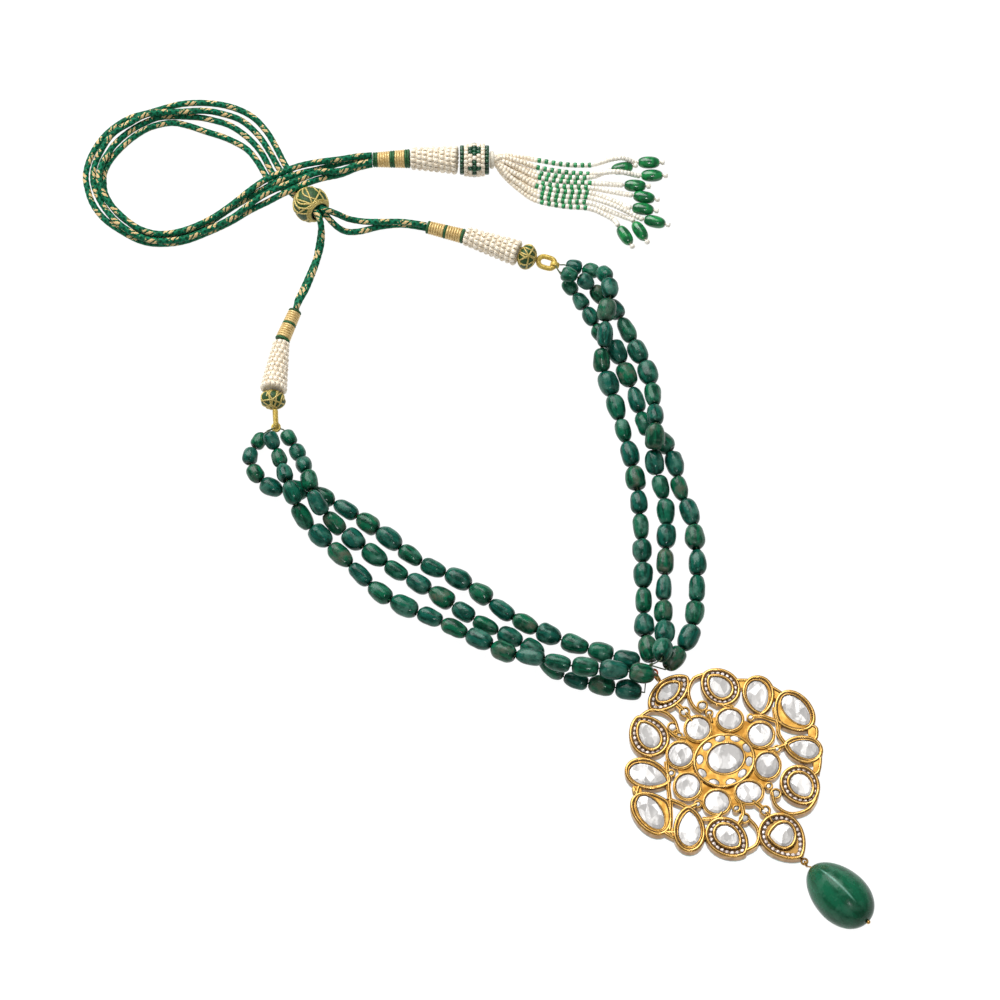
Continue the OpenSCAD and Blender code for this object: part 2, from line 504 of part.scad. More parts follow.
module pendant_frame() {
    color("goldenrod") {
        difference() {
            translate([0, 0, frame_z]) linear_extrude(rim_z - frame_z) plan();
            translate([0, 0, ground_z]) linear_extrude(2) lowered_ground();
            for (r = OUTER_STONES) pocket(r, pocket_z, fit);
            for (r = MID_STONES) pocket(r, pocket_z, fit);
            pocket(CENTRE_STONE, pocket_z, fit);
            for (h = HALO_STONES) pocket(halo_row(h), pocket_z, fit);
            for (a = ACCENTS) pocket([a[0], a[1], 0, a[3], a[3], 0, 0], pocket_z, fit);
            for (i = CHANNELLED) channel(i);
        }
        ring(bail_at, across(bail_dir), bail_r, bail_wire);
        rod(bail_at - bail_r * bail_dir, bail_at - 2.9 * bail_dir, bail_wire);
        ring(eye_at, [0, 0, 1], eye_r, eye_wire);
    }
}
module pendant_enamel() {
    color("darkgreen") linear_extrude(plate_t) plan();
}
function halo_row(h) = [h[0], h[1], h[2], halo_stone[0], halo_stone[1], 0, 0];
module stone_centre() {
    color("white") cut_stone(CENTRE_STONE, table_z + 0.3, 16);
}
module stones_halo() {
    color("white") for (h = HALO_STONES) cut_stone(halo_row(h), table_z - 0.5, 8);
}
module stones_accent() {
    color("white") for (a = ACCENTS) cut_stone([a[0], a[1], 0, a[3], a[3], 0, 0], table_z - 0.4, 8);
}
module stone_mid(i) {
    color("white") cut_stone(MID_STONES[i - 1], table_z);
}
module stone_outer(i) {
    color("white") cut_stone(OUTER_STONES[i - 1], table_z);
}

// Drop
module drop_pin() {
    eye = eye_at + eye_r * pin_dir;
    foot = eye + eye_r * pin_dir;
    top = drop_at - (drop_len / 2 + 0.5) * drop_dir;
    tip = drop_at + (drop_len / 2 + 0.5) * drop_dir;
    color("goldenrod") {
        ring(eye, across(pin_dir), eye_r, pin_wire);
        rod(foot, top, pin_wire);
        translate(top) sphere(pin_wire + 0.02, $fn = 16);
        rod(top, tip, pin_wire);
        translate(tip) sphere(0.7, $fn = 16);
    }
}
module drop_bead() {
    r = drop_bore / 2;
    rim = [for (t = [6 : 7 : 174]) [drop_r(t), drop_x(t)]];
    color("seagreen") translate(drop_at) turn_to(drop_dir) rotate_extrude($fn = 48)
        polygon(concat([[r, rim[0][1]]], rim, [[r, last(rim)[1]]]));
}

// Strings of beads
module bead(b) {
    r = bead_bore / 2;
    rim = [for (t = [-78 : 19.5 : 78]) [
        max(r + 0.08, b[3] / 2 * pow(cos(t), 0.8) * (1 + b[4] * sin(t))),
        b[2] / 2 * sign(t) * pow(abs(sin(t)), 0.8)
    ]];
    translate(b[0]) turn_to(b[1]) rotate_extrude($fn = 16)
        polygon(concat([[r, rim[0][1]]], rim, [[r, last(rim)[1]]]));
}
module strand(s) {
    color("darkgreen") for (b = beads(s)) bead(b);
}
module threads() {
    left = loop_end(LEFT_LOOP);
    right = loop_end(RIGHT_LOOP);
    color("olivedrab") {
        ring(left, [0, 0, 1], loop_ring_r, thread_r);
        ring(right, across(RIGHT_LOOP[1] - RIGHT_LOOP[0]), loop_ring_r, thread_r);
        ring(knot_at, across(bail_dir), knot_r, thread_r);
        for (s = [LEFT_UPPER, LEFT_MIDDLE, LEFT_LOWER]) tube(thread_path(s, left, knot_at), thread_r, 6);
        for (s = [RIGHT_INNER, RIGHT_MIDDLE, RIGHT_OUTER]) tube(thread_path(s, right, knot_at), thread_r, 6);
    }
}
module tie_thread() {
    color("orangered") ring(tie_at, [0, 0, 1], tie_r, tie_wire);
}

// Ends
function wrap_profile(d) = function (h) [
    [0, 0], [d[0] / 2 - 0.3, 0], [d[0] / 2, 0.4], [d[1] / 2, h - 0.4], [d[1] / 2 - 0.3, h], [0, h]
];
function cone_profile(d0, d1) = function (h) [
    [0, 0], [d0 / 2 - 0.4, 0], [d0 / 2, 0.6], [d1 / 2, h - 1.4], [d1 / 2 - 0.3, h - 0.5],
    [d1 / 2 - 1, h], [0, h]
];
function barrel_profile(d) = function (h) [
    [0, 0], [d / 2 - 1.2, 0], [d / 2 - 0.3, 0.8], [d / 2, 2], [d / 2, h - 2], [d / 2 - 0.3, h - 0.8],
    [d / 2 - 1.2, h], [0, h]
];
function knob_profile() = [for (t = [-90 : 12 : 90]) [knob_d / 2 * cos(t), knob_len / 2 * sin(t)]];
module wrap(w, d) {
    color("darkkhaki") turned(w[0], w[1], wrap_profile(d));
}
module cone(c, d0, d1) {
    color("ivory") turned(c[0], c[1], cone_profile(d0, d1));
}
module knob(middle, axis) {
    color("olive") translate(middle) turn_to(axis) rotate_extrude($fn = 48) polygon(knob_profile());
}
// A stadium-shaped link from one outer end to the other, upright or flat
module loop(l, upright) {
    d = unit(l[1] - l[0]);
    bend = (loop_height - loop_wire) / 2;
    straight = norm(l[1] - l[0]) - loop_height;
    translate(l[0]) rotate([0, 0, atan2(d[1], d[0])]) rotate([upright ? 90 : 0, -asin(d[2]), 0])
        color("gold") {
            for (e = [0, 1])
                translate([loop_height / 2 + e * straight, 0, 0])
                    rotate([0, 0, e == 0 ? 90 : -90])
                        rotate_extrude(angle = 180, $fn = 32) translate([bend, 0]) circle(loop_wire / 2, $fn = 16);
            for (side = [-1, 1])
                translate([loop_height / 2, side * bend, 0]) rotate([0, 90, 0])
                    cylinder(r = loop_wire / 2, h = straight, $fn = 16);
        }
}

// Cords and slider
module cord(route) {
    r = rail(settled(smooth(route, 6), cord_r));
    color("seagreen") tube(evenly(r, round(rail_len(r) / 4.4)), cord_r, 8);
}
module slider() {
    r = slider_bore / 2;
    a = acos(r / (slider_d / 2));
    color("darkolivegreen") translate(slider_at) turn_to(slider_dir) rotate_extrude($fn = 48)
        polygon([for (t = [-a : a / 8 : a + 0.001]) slider_d / 2 * [cos(t), sin(t)]]);
}

// Tassel
function oval_at(i) = [STRINGS[i][8], STRINGS[i][9], oval_z];
function oval_dir(i) = [cos(STRINGS[i][10]), sin(STRINGS[i][10]), 0];
function string_path(i) = let (
    row = STRINGS[i],
    turn = 360 * i / len(STRINGS) + 90,
    stack = i % 2 == 0 ? [0, 0, 0, 0, 0, 0, 0] : [1.5, 1.3, 0.6, 0.1, 0, 0, 0],
    lift = [0, 0, 0, 0, 0, row[7], row[7]],
    stop = oval_at(i) - (oval_len / 2 + 0.25) * oval_dir(i)
) concat(
    [TASSEL_BARREL[1] + [0.9, 1.6 * cos(turn), 1.6 * sin(turn)]],
    [for (k = [0 : 6]) if (STATION_X[k] < stop[0] - 1.5)
        [STATION_X[k], row[k], STATION_Z[k] + stack[k] + lift[k]]],
    [stop - 0.9 * oval_dir(i), stop]
);
// A string is full width down to its oval bead, thin inside it and full width past it
module tassel_string(i) {
    r = rail(settled(smooth(string_path(i), 4), seed_d / 2 + 0.05));
    main = evenly(r, 14);
    reach = oval_len / 2 + 0.25;
    thin = [for (e = [-reach + 0.05, reach]) oval_at(i) + e * oval_dir(i)];
    tip = [for (e = [0.05, 1.3]) oval_at(i) + (reach + e) * oval_dir(i)];
    wide = seed_d / 2;
    tube(
        concat(main, thin, tip),
        concat([for (p = main) wide], [0.25, 0.25], [wide, wide]),
        6
    );
}
module tassel_strands() {
    head = TASSEL_BARREL[1];
    color("ivory") {
        rod(head + [fit, 0, 0], head + [fit + head_len, 0, 0], head_d / 2);
        for (i = [0 : len(STRINGS) - 1]) tassel_string(i);
    }
}
module tassel_ovals() {
    rim = [for (t = [-78 : 13 : 78]) [oval_d / 2 * pow(cos(t), 0.8), oval_len / 2 * sin(t)]];
    color("green") for (i = [0 : len(STRINGS) - 1])
        translate(oval_at(i)) turn_to(oval_dir(i)) rotate_extrude($fn = 16)
            polygon(concat([[0.45, rim[0][1]]], rim, [[0.45, last(rim)[1]]]));
}

pendant_frame();
pendant_enamel();
stone_centre();
stones_halo();
stones_accent();
for (i = [1 : 8]) stone_mid(i);
for (i = [1 : 12]) stone_outer(i);
drop_pin();
drop_bead();
strand(LEFT_UPPER);  // strand_left_upper
strand(LEFT_MIDDLE);  // strand_left_middle
strand(LEFT_LOWER);  // strand_left_lower
strand(RIGHT_INNER);  // strand_right_inner
strand(RIGHT_MIDDLE);  // strand_right_middle
strand(RIGHT_OUTER);  // strand_right_outer
threads();
tie_thread();
loop(LEFT_LOOP, true);  // loop_left
loop(RIGHT_LOOP, false);  // loop_right
knob(LEFT_KNOB, LEFT_CONE[1] - LEFT_CONE[0]);  // knob_left
knob(RIGHT_KNOB, RIGHT_CONE[1] - RIGHT_CONE[0]);  // knob_right
cone(LEFT_CONE, 5.6, 9.3);  // cone_left
cone(RIGHT_CONE, 6.5, 9);  // cone_right
wrap(LEFT_WRAP, wrap_d);  // wrap_left
wrap(RIGHT_WRAP, wrap_d);  // wrap_right
cord(CORD_1);  // cord_1
cord(CORD_2);  // cord_2
cord(CORD_3);  // cord_3
cord(CORD_4);  // cord_4
slider();
wrap(TASSEL_WRAP, tassel_wrap_d);  // tassel_wrap
cone(TASSEL_CONE, 7.7, 9.9);  // tassel_cone
union() {  // tassel_barrel
    color("ivory") turned(TASSEL_BARREL[0], TASSEL_BARREL[1], barrel_profile(barrel_d));
}
tassel_strands();
tassel_ovals();
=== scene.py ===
# %% [markdown]
# # A bead necklace with a pierced gold pendant, laid out on a table
# The imported solids are the fixed frame: they say where each bead, cord and setting lies.
# Everything below dresses that frame. The first cell loads it.

# %% Load the frame
import math
import bpy
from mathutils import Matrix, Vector


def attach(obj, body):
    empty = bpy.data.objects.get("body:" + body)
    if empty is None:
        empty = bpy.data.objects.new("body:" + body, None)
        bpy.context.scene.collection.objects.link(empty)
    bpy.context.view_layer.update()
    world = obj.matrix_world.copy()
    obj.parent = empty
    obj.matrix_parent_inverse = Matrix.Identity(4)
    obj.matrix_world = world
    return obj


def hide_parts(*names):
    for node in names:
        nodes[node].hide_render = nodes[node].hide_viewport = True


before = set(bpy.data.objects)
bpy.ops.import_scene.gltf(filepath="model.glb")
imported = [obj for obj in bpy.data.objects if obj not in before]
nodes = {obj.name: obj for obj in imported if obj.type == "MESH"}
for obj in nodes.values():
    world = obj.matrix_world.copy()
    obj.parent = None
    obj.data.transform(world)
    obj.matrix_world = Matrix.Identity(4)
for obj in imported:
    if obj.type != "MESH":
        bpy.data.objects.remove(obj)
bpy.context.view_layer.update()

MM = 0.001
scene = bpy.context.scene
print("solids in the frame:", len(nodes))

# %% [markdown]
# ## Camera
# The photograph was taken from high above the table with a long lens, so that a far bead
# looks hardly smaller than a near one. A long lens far away gives that flat perspective.

# %% Camera
AIM = Vector((-73.56, 91.69, 0)) * MM
ELEVATION = math.radians(69)
DISTANCE = 2.4
camera = bpy.data.objects.new("camera", bpy.data.cameras.new("camera"))
scene.collection.objects.link(camera)
camera.location = AIM + DISTANCE * Vector((0, -math.cos(ELEVATION), math.sin(ELEVATION)))
camera.rotation_euler = (math.pi / 2 - ELEVATION, 0, 0)
camera.data.lens = 261.8
camera.data.sensor_width = 36
camera.data.clip_end = 20
scene.camera = camera
print("camera height:", round(camera.location.z, 3))

# %% [markdown]
# ## Routes
# Strings and cords follow a few round-numbered points each, joined by a smooth curve.
# These are the helpers: a curve through points, its running length, evenly spaced places
# along it, and the directions that stand square to it.

# %% Route helpers
CURVE_STEPS = 6

def laid(points, low):
    """Points given by x and y alone lie at the height low."""
    return [(*p, low) if len(p) == 2 else p for p in points]

def spline(a, b, c, d, t):
    return 0.5 * (2 * b + (c - a) * t + (2 * a - 5 * b + 4 * c - d) * t * t
                  + (3 * b - a - 3 * c + d) * t ** 3)

def smooth(points, steps=CURVE_STEPS, lowest=None):
    """A curve through the points, in so many steps from each to the next."""
    p = [Vector(q) for q in points]
    n = len(p)
    out = [spline(p[max(i - 1, 0)], p[i], p[i + 1], p[min(i + 2, n - 1)], k / steps)
           for i in range(n - 1) for k in range(steps)] + [p[-1]]
    return out if lowest is None else [Vector((q.x, q.y, max(q.z, lowest))) for q in out]

class Rail:
    """A path that can be asked for the point at any distance along it."""
    def __init__(self, points):
        self.points = [Vector(p) for p in points]
        self.run = [0.0]
        for a, b in zip(self.points, self.points[1:]):
            self.run.append(self.run[-1] + (b - a).length)
        self.length = self.run[-1]

    def at(self, far):
        far = min(max(far, 0), self.length)
        k = next(i for i in range(1, len(self.run)) if self.run[i] >= far - 1e-9)
        span = self.run[k] - self.run[k - 1]
        return self.points[k - 1].lerp(self.points[k], (far - self.run[k - 1]) / span if span else 0)

    def every(self, pitch):
        n = max(2, round(self.length / pitch))
        return [self.at(self.length * i / n) for i in range(n + 1)]

UP = Vector((0, 0, 1))

def across(d):
    return d.cross(UP).normalized()

def square_to(d):
    """Two directions square to d and to each other, the first of them flat."""
    return across(d), d.cross(across(d))

def spoke(u, v, turn):
    return math.cos(turn) * u + math.sin(turn) * v

def circle(count):
    """Turns spread evenly over a whole circle."""
    return [2 * math.pi * k / count for k in range(count)]

test = Rail(smooth([(0, 0, 0), (10, 0, 0), (10, 10, 0)]))
print("a test bend is", round(test.length, 2), "long")

# %% [markdown]
# ## Piece helpers
# A piece starts as points or faces in millimetres. One helper makes the mesh, another
# lets a piece ride on the frame and names the finish and the solid it stands for.

# %% Piece helpers
def mesh_of(name, points, edges=(), faces=(), **fields):
    """A mesh from points in millimetres, with a named value or vector for each point."""
    mesh = bpy.data.meshes.new(name)
    mesh.from_pydata([Vector(p) * MM for p in points], list(edges), list(faces))
    for label, values in fields.items():
        wide = hasattr(values[0], "__len__")
        layer = mesh.attributes.new(label, "FLOAT_VECTOR" if wide else "FLOAT", "POINT")
        flat = [x for v in values for x in v] if wide else list(values)
        layer.data.foreach_set("vector" if wide else "value", flat)
    mesh.update()
    return mesh

def soft_mesh(name, points, faces, **fields):
    """A mesh of faces that is shaded as one smooth skin."""
    mesh = mesh_of(name, points, faces=faces, **fields)
    mesh.polygons.foreach_set("use_smooth", [True] * len(mesh.polygons))
    return mesh

def paint(solid, finish):
    solid.data.materials.clear()
    solid.data.materials.append(finish)

def place(obj, finish, solids=()):
    """Lets a piece ride on the frame and tells which solids of the frame it replaces."""
    if obj.name not in scene.collection.objects:
        scene.collection.objects.link(obj)
    paint(obj, finish)
    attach(obj, "root")
    if solids:
        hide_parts(*solids)
    return obj

def tube_faces(rows, sides, closed=False):
    """Faces between rings of points: the last ring meets the first, or both ends are capped."""
    faces = []
    for i in range(rows if closed else rows - 1):
        j = (i + 1) % rows
        for k in range(sides):
            m = (k + 1) % sides
            faces.append((i * sides + k, i * sides + m, j * sides + m, j * sides + k))
    if not closed:
        faces.append(tuple(range(sides - 1, -1, -1)))
        faces.append(tuple((rows - 1) * sides + k for k in range(sides)))
    return faces

def lathe(start, end, profile, sides, closed=False):
    """Points and faces of a profile (radius, height) turned round the line start to end."""
    d = (end - start).normalized()
    u, v = square_to(d)
    points = [start + d * h + r * spoke(u, v, turn) for r, h in profile for turn in circle(sides)]
    return points, tube_faces(len(profile), sides, closed)

def turned(name, ends, profile, sides, finish, solids=(), make_mesh=soft_mesh):
    """A piece turned round the line between two ends."""
    points, faces = lathe(*ends, profile, sides)
    return place(bpy.data.objects.new(name, make_mesh(name, points, faces=faces)), finish, solids)

print("helpers ready")

# %% [markdown]
# ## Paint helpers
# A finish is a Principled shader fed by patterns. Patterns that several finishes share are
# node groups with named inputs; they are built once here. Mottle makes soft-edged patches,
# Grain makes a fine rough surface, and Height tells low places from high ones, because gold
# is bright where it is rubbed and brown in its recesses.

# %% Shader groups
FLOAT, VECTOR, WHOLE = "NodeSocketFloat", "NodeSocketVector", "NodeSocketInt"

def new_tree(name, kind, inputs, outputs):
    """A node tree whose sockets are (name, kind, default), and its first and last node."""
    tree = bpy.data.node_groups.new(name, kind)
    for way, sockets in (("INPUT", inputs), ("OUTPUT", outputs)):
        for label, socket_type, *value in sockets:
            socket = tree.interface.new_socket(label, in_out=way, socket_type=socket_type)
            if value:
                socket.default_value = value[0]
    return tree, tree.nodes.new("NodeGroupInput"), tree.nodes.new("NodeGroupOutput")

def step(tree, kind, links=(), **settings):
    """One node: settings that are sockets set the socket, the others set the node."""
    made = tree.nodes.new(kind)
    for key, value in settings.items():
        if hasattr(made, key):
            setattr(made, key, value)
        else:
            made.inputs[key.replace("_", " ")].default_value = value
    for socket, source in dict(links).items():
        tree.links.new(source, made.inputs[socket])
    return made

def mask_group(name, inputs, value_of):
    """A group that turns a value into a mask, which rises from its Low to its High."""
    tree, given, out = new_tree(name, "ShaderNodeTree", inputs, [("Mask", FLOAT)])
    rise = step(tree, "ShaderNodeMapRange", {
        "Value": value_of(tree, given.outputs), "From Min": given.outputs["Low"],
        "From Max": given.outputs["High"]}, interpolation_type="SMOOTHSTEP")
    tree.links.new(rise.outputs[0], out.inputs["Mask"])
    return tree

mottle = mask_group(
    "Mottle", [("Vector", VECTOR), ("Scale", FLOAT, 300), ("Detail", FLOAT, 3), ("Low", FLOAT, 0.4),
               ("High", FLOAT, 0.6)],
    lambda tree, sockets: step(tree, "ShaderNodeTexNoise", {
        label: sockets[label] for label in ("Vector", "Scale", "Detail")}).outputs[0])
height = mask_group(
    "Height", [("Vector", VECTOR), ("Low", FLOAT, 0.0), ("High", FLOAT, 0.005)],
    lambda tree, sockets: step(tree, "ShaderNodeSeparateXYZ", {"Vector": sockets["Vector"]}).outputs["Z"])

grain, given, out = new_tree(
    "Grain", "ShaderNodeTree", [("Vector", VECTOR), ("Scale", FLOAT, 1500), ("Depth", FLOAT, 0.2),
                                ("Size", FLOAT, 0.0001)], [("Normal", VECTOR)])
noise = step(grain, "ShaderNodeTexNoise", {
    label: given.outputs[label] for label in ("Vector", "Scale")}, Detail=4)
bumps = step(grain, "ShaderNodeBump", {
    "Height": noise.outputs[0], "Strength": given.outputs["Depth"], "Distance": given.outputs["Size"]})
grain.links.new(bumps.outputs[0], out.inputs["Normal"])
print("groups:", mottle.name, grain.name, height.name)

# %% Finish helpers
class Finish:
    """A material with its shader at hand, and short ways to feed it."""
    def __init__(self, name, **plain):
        self.material = bpy.data.materials.new(name)
        self.material.use_nodes = True
        self.tree = self.material.node_tree
        self.shader = self.tree.nodes["Principled BSDF"]
        self.where = step(self.tree, "ShaderNodeTexCoord").outputs["Object"]
        for label, value in plain.items():
            self.shader.inputs[label.replace("_", " ")].default_value = value

    def put(self, socket, value):
        """Links a socket to another one, or gives it a plain value."""
        if isinstance(value, bpy.types.NodeSocket):
            self.tree.links.new(value, socket)
        else:
            socket.default_value = value

    def group(self, group, vector, values):
        """What a shared group gives at a place."""
        made = step(self.tree, "ShaderNodeGroup", node_tree=group)
        self.put(made.inputs["Vector"], vector or self.where)
        for label, value in values.items():
            made.inputs[label].default_value = value
        return made.outputs[0]

    def patches(self, vector=None, **values):
        return self.group(mottle, vector, values)

    def above(self, low, high):
        return self.group(height, None, {"Low": low, "High": high})

    def skin(self, scale, depth, size):
        """The normal of a fine rough surface."""
        return self.group(grain, None, {"Scale": scale, "Depth": depth, "Size": size})

    def mix(self, mask, a, b):
        """Colour a where the mask is 0 and b where it is 1; a and b are colours or sockets."""
        made = step(self.tree, "ShaderNodeMix", data_type="RGBA")
        ends = [socket for socket in made.inputs if socket.type == "RGBA"]
        for socket, value in zip(ends, (a, b)):
            self.put(socket, (*value, 1) if isinstance(value, tuple) else value)
        self.put(made.inputs[0], mask)
        return next(socket for socket in made.outputs if socket.type == "RGBA")

    def math(self, kind, a, b=0.0):
        made = step(self.tree, "ShaderNodeMath", operation=kind)
        self.put(made.inputs[0], a)
        self.put(made.inputs[1], b)
        return made.outputs[0]

    def ramp(self, value, low, high, to_low=0.0, to_high=1.0):
        return step(self.tree, "ShaderNodeMapRange", {"Value": value}, interpolation_type="SMOOTHSTEP",
                    From_Min=low, From_Max=high, To_Min=to_low, To_Max=to_high).outputs[0]

    def stretch(self, vector, by, shift=(0, 0, 0)):
        """A vector scaled by three numbers and then shifted."""
        made = step(self.tree, "ShaderNodeVectorMath", {0: vector}, operation="MULTIPLY_ADD")
        made.inputs[1].default_value = by
        self.put(made.inputs[2], shift)
        return made.outputs[0]

    def attribute(self, name, output="Fac"):
        return step(self.tree, "ShaderNodeAttribute", attribute_name=name).outputs[output]

    def split(self, vector):
        return step(self.tree, "ShaderNodeSeparateXYZ", {"Vector": vector}).outputs

    def bump(self, value, strength, distance, **links):
        return step(self.tree, "ShaderNodeBump", {"Height": value, **links}, Strength=strength,
                    Distance=distance).outputs[0]

    def feed(self, **sources):
        for label, source in sources.items():
            self.tree.links.new(source, self.shader.inputs[label.replace("_", " ")])
        return self.material

print("finish helpers ready")

# %% [markdown]
# ## Braided cords
# Four soft braided cords leave the bindings in pairs, run through one slider, and turn
# in a wide loop to the tassel. Each is a tube swept along its route with the plait pressed
# into its surface. Its UV map runs along the cord in millimetres and once round it, so the
# pattern follows each bend.

# %% Cord routes
CORD_R = 1.1
HALF_PITCH = CORD_R + 0.06
SLIDER_AT = Vector((-136.8, 195.3, 5.87))
SLIDER_DIR = Vector((0.62, -0.76, 0.4)).normalized()
SLIDER_ACROSS = Vector((0.78, 0.63, 0)).normalized()
LEFT_WRAP = [Vector((-141.7, 158.2, 2.4)), Vector((-146.0, 147.3, 2.9))]
RIGHT_WRAP = [Vector((-98.0, 188.6, 2.4)), Vector((-85.6, 185.0, 2.8))]
TASSEL_WRAP = [Vector((-116.2, 212.9, 2.8)), Vector((-103.8, 213.0, 3.6))]

def wrap_face(wrap, side, up):
    """Where a cord leaves a binding, so far to its side and so far up."""
    start, end = wrap
    return start + 0.3 * (start - end).normalized() + side * across(end - start) + Vector((0, 0, up))

def slider_lane(lane, level):
    """A cord's points in the slider, where four cords run in two by two."""
    apart = CORD_R + 0.08
    return [SLIDER_AT + far * SLIDER_DIR + lane * apart * SLIDER_ACROSS
            + level * apart * SLIDER_DIR.cross(SLIDER_ACROSS).normalized() for far in (5.6, 0, -5.6, -9)]

CORDS = {
    # name: first binding, lane and level in the slider, route to the slider, route from
    # there, where points without a height lie on the table. A cord's lane and level also
    # say how it lies in the bindings.
    "cord_1": (RIGHT_WRAP, 1, 1, [
        (-102.5, 189.5, 3.45), (-107, 190, 3.45), (-113.5, 190, 3.4), (-119, 190.6, 2.3),
        (-124, 191.1, 3.2), (-127.6, 191.4, 6.4), (-130.5, 191.6, 8.9),
    ], [
        (-143, 206.6, 3), (-145.7, 211.5, 2), (-149, 218.6), (-152.2, 224.2), (-157, 229.5),
        (-164, 233), (-172.5, 234.5), (-181.5, 234), (-191.5, 231), (-199, 228.5), (-206, 223),
        (-210.5, 216), (-212.5, 209), (-212, 203.5), (-210, 197.5), (-206, 192), (-200, 187.5),
        (-193.5, 184), (-187, 183), (-179, 184), (-170.5, 187.5), (-163.5, 191, 1.3),
        (-157.5, 194.5, 2.2), (-151, 197.3, 3.8), (-146, 199.2, 6), (-140.5, 201.6, 6.7),
        (-134, 205.2, 4.4), (-127, 208, 1.8), (-121.5, 210.5, 1.5),
    ]),
    "cord_2": (RIGHT_WRAP, 1, -1, [
        (-102.5, 189.5, 1.2), (-107, 190), (-113.5, 189.3), (-120, 187.6), (-124.5, 186.9, 2.2),
        (-127.5, 187.4, 4.4), (-130.2, 189.2, 6.6),
    ], [
        (-144.3, 205.7), (-147.5, 210), (-151.1, 216.8), (-155, 222.8), (-160.5, 228),
        (-167, 230.3, 1.6), (-173, 230.8, 3), (-180.5, 230.3, 3.4), (-191.5, 229.6, 3.4),
        (-198, 226.2, 3.3), (-203.9, 222.2, 2.9), (-207.8, 216.2, 1.7), (-209.8, 211),
        (-210, 205.5), (-208.3, 200.3), (-206, 195.9, 1.6), (-202.6, 191, 3.1),
        (-198.3, 187.2, 3.4), (-193, 184.2, 3.4), (-187, 183, 3.4), (-179, 184, 3.4),
        (-170.5, 187.5, 3.4), (-163, 191.5, 3.6), (-157, 196, 4.8), (-152, 199.2, 5.9),
        (-146, 202, 6.2), (-140.5, 204.4, 6.2), (-134, 207, 6), (-127, 208.2, 4.3),
        (-121.5, 210.6, 3.9),
    ]),
    "cord_3": (LEFT_WRAP, -1, -1, [
        (-141, 162.5, 1.2), (-139.5, 166), (-136.5, 173.5), (-135, 177.5), (-134.3, 181.3, 1.6),
        (-133.6, 184.6, 3.9), (-133.3, 187.4, 6.3),
    ], [
        (-146.2, 204.2), (-149.7, 208.3), (-153.6, 216), (-158.2, 221.6), (-164, 226),
        (-169.5, 228), (-176, 229.3), (-186.5, 229.5), (-192, 227.8), (-198, 224.2),
        (-202.8, 219.5, 1.4), (-205.2, 215.1, 2.7), (-207, 211.5, 3.3), (-208, 206, 3.4),
        (-207, 201.5, 3.4), (-205, 197.7, 3.4), (-202.2, 194.3, 3.4), (-198.2, 190.4, 3.4),
        (-193.5, 187.2, 3.4), (-187, 185.6, 3.4), (-179, 187, 3.4), (-170.5, 191, 3.4),
        (-163.5, 196, 3.7), (-157, 201, 5.1), (-152, 204.3, 6), (-146.5, 207, 6),
        (-140.5, 209.4, 5.9), (-134, 211.2, 5), (-127, 212.5, 4.3), (-121.5, 213.6, 4),
    ]),
    "cord_4": (LEFT_WRAP, -1, 1, [
        (-140, 162, 3.5), (-138, 166, 3.45), (-135.5, 173, 3.4), (-134.2, 177.5, 3.4),
        (-133.3, 180.8, 4.6), (-133, 184.2, 7.2), (-133.5, 187.5, 9.3),
    ], [
        (-147.4, 202.9, 2.9), (-151.4, 206.6, 1.6), (-155.2, 213.2), (-159, 217.8),
        (-165.5, 221.5), (-172.5, 224), (-179, 226.3), (-184.5, 227.2), (-191.3, 225.5),
        (-196.5, 222.2), (-201, 217.9), (-204.5, 213.3), (-206.4, 208.8), (-206.5, 205.5),
        (-206, 201.5), (-204, 197.5), (-201.5, 194), (-197.5, 190.5), (-193.5, 187.5),
        (-187.5, 185.5), (-179, 187), (-170.5, 191), (-163.5, 196, 1.2), (-157.5, 199.3, 2.6),
        (-152, 202, 4.4), (-146.5, 204.5, 5.6), (-140.5, 206.9, 5.2), (-134, 209.5, 3),
        (-127.5, 212, 1.8), (-121.5, 213.6, 1.6),
    ]),
}
cord_rails = {}
for name, (wrap, lane, level, lead, wide) in CORDS.items():
    points = [wrap_face(wrap, 0, level * HALF_PITCH), *laid(lead, CORD_R), *slider_lane(lane, level),
              *laid(wide, CORD_R), wrap_face(TASSEL_WRAP, lane * HALF_PITCH, -level * HALF_PITCH)]
    cord_rails[name] = Rail(smooth(points, lowest=CORD_R))
    print(name, "is", round(cord_rails[name].length), "mm long")

# %% Cord finish
# The plait: how fast its waves follow each other along the cord, and how many go round it
PLAIT_PACE, PLAIT_WAVES = 2.9, 3
# Gold flowers on the braid: how far along their step they sit, and where round the cord
FLOWERS = [(0.0, 0.66), (0.5, 0.86), (0.25, 0.16), (0.75, 0.36)]
FLOWER_STEP = 14.0
braid = Finish("silk_braid", Roughness=0.6, Specular_IOR_Level=0.15)
calc = braid.math
along, around = braid.split(step(braid.tree, "ShaderNodeUVMap", uv_map="along").outputs[0])[:2]
forth = calc("MULTIPLY", along, PLAIT_PACE)
round_it = calc("MULTIPLY", calc("MULTIPLY", around, 2 * math.pi), PLAIT_WAVES)
lean_left = calc("SINE", calc("ADD", forth, round_it))
lean_right = calc("SINE", calc("SUBTRACT", forth, round_it))
plait = calc("MAXIMUM", lean_left, lean_right)

def from_middle(repeats, size):
    """How far a place is from the middle of the repeat it is in."""
    return calc("MULTIPLY", calc("SUBTRACT", calc("FRACT", repeats), 0.5), size)

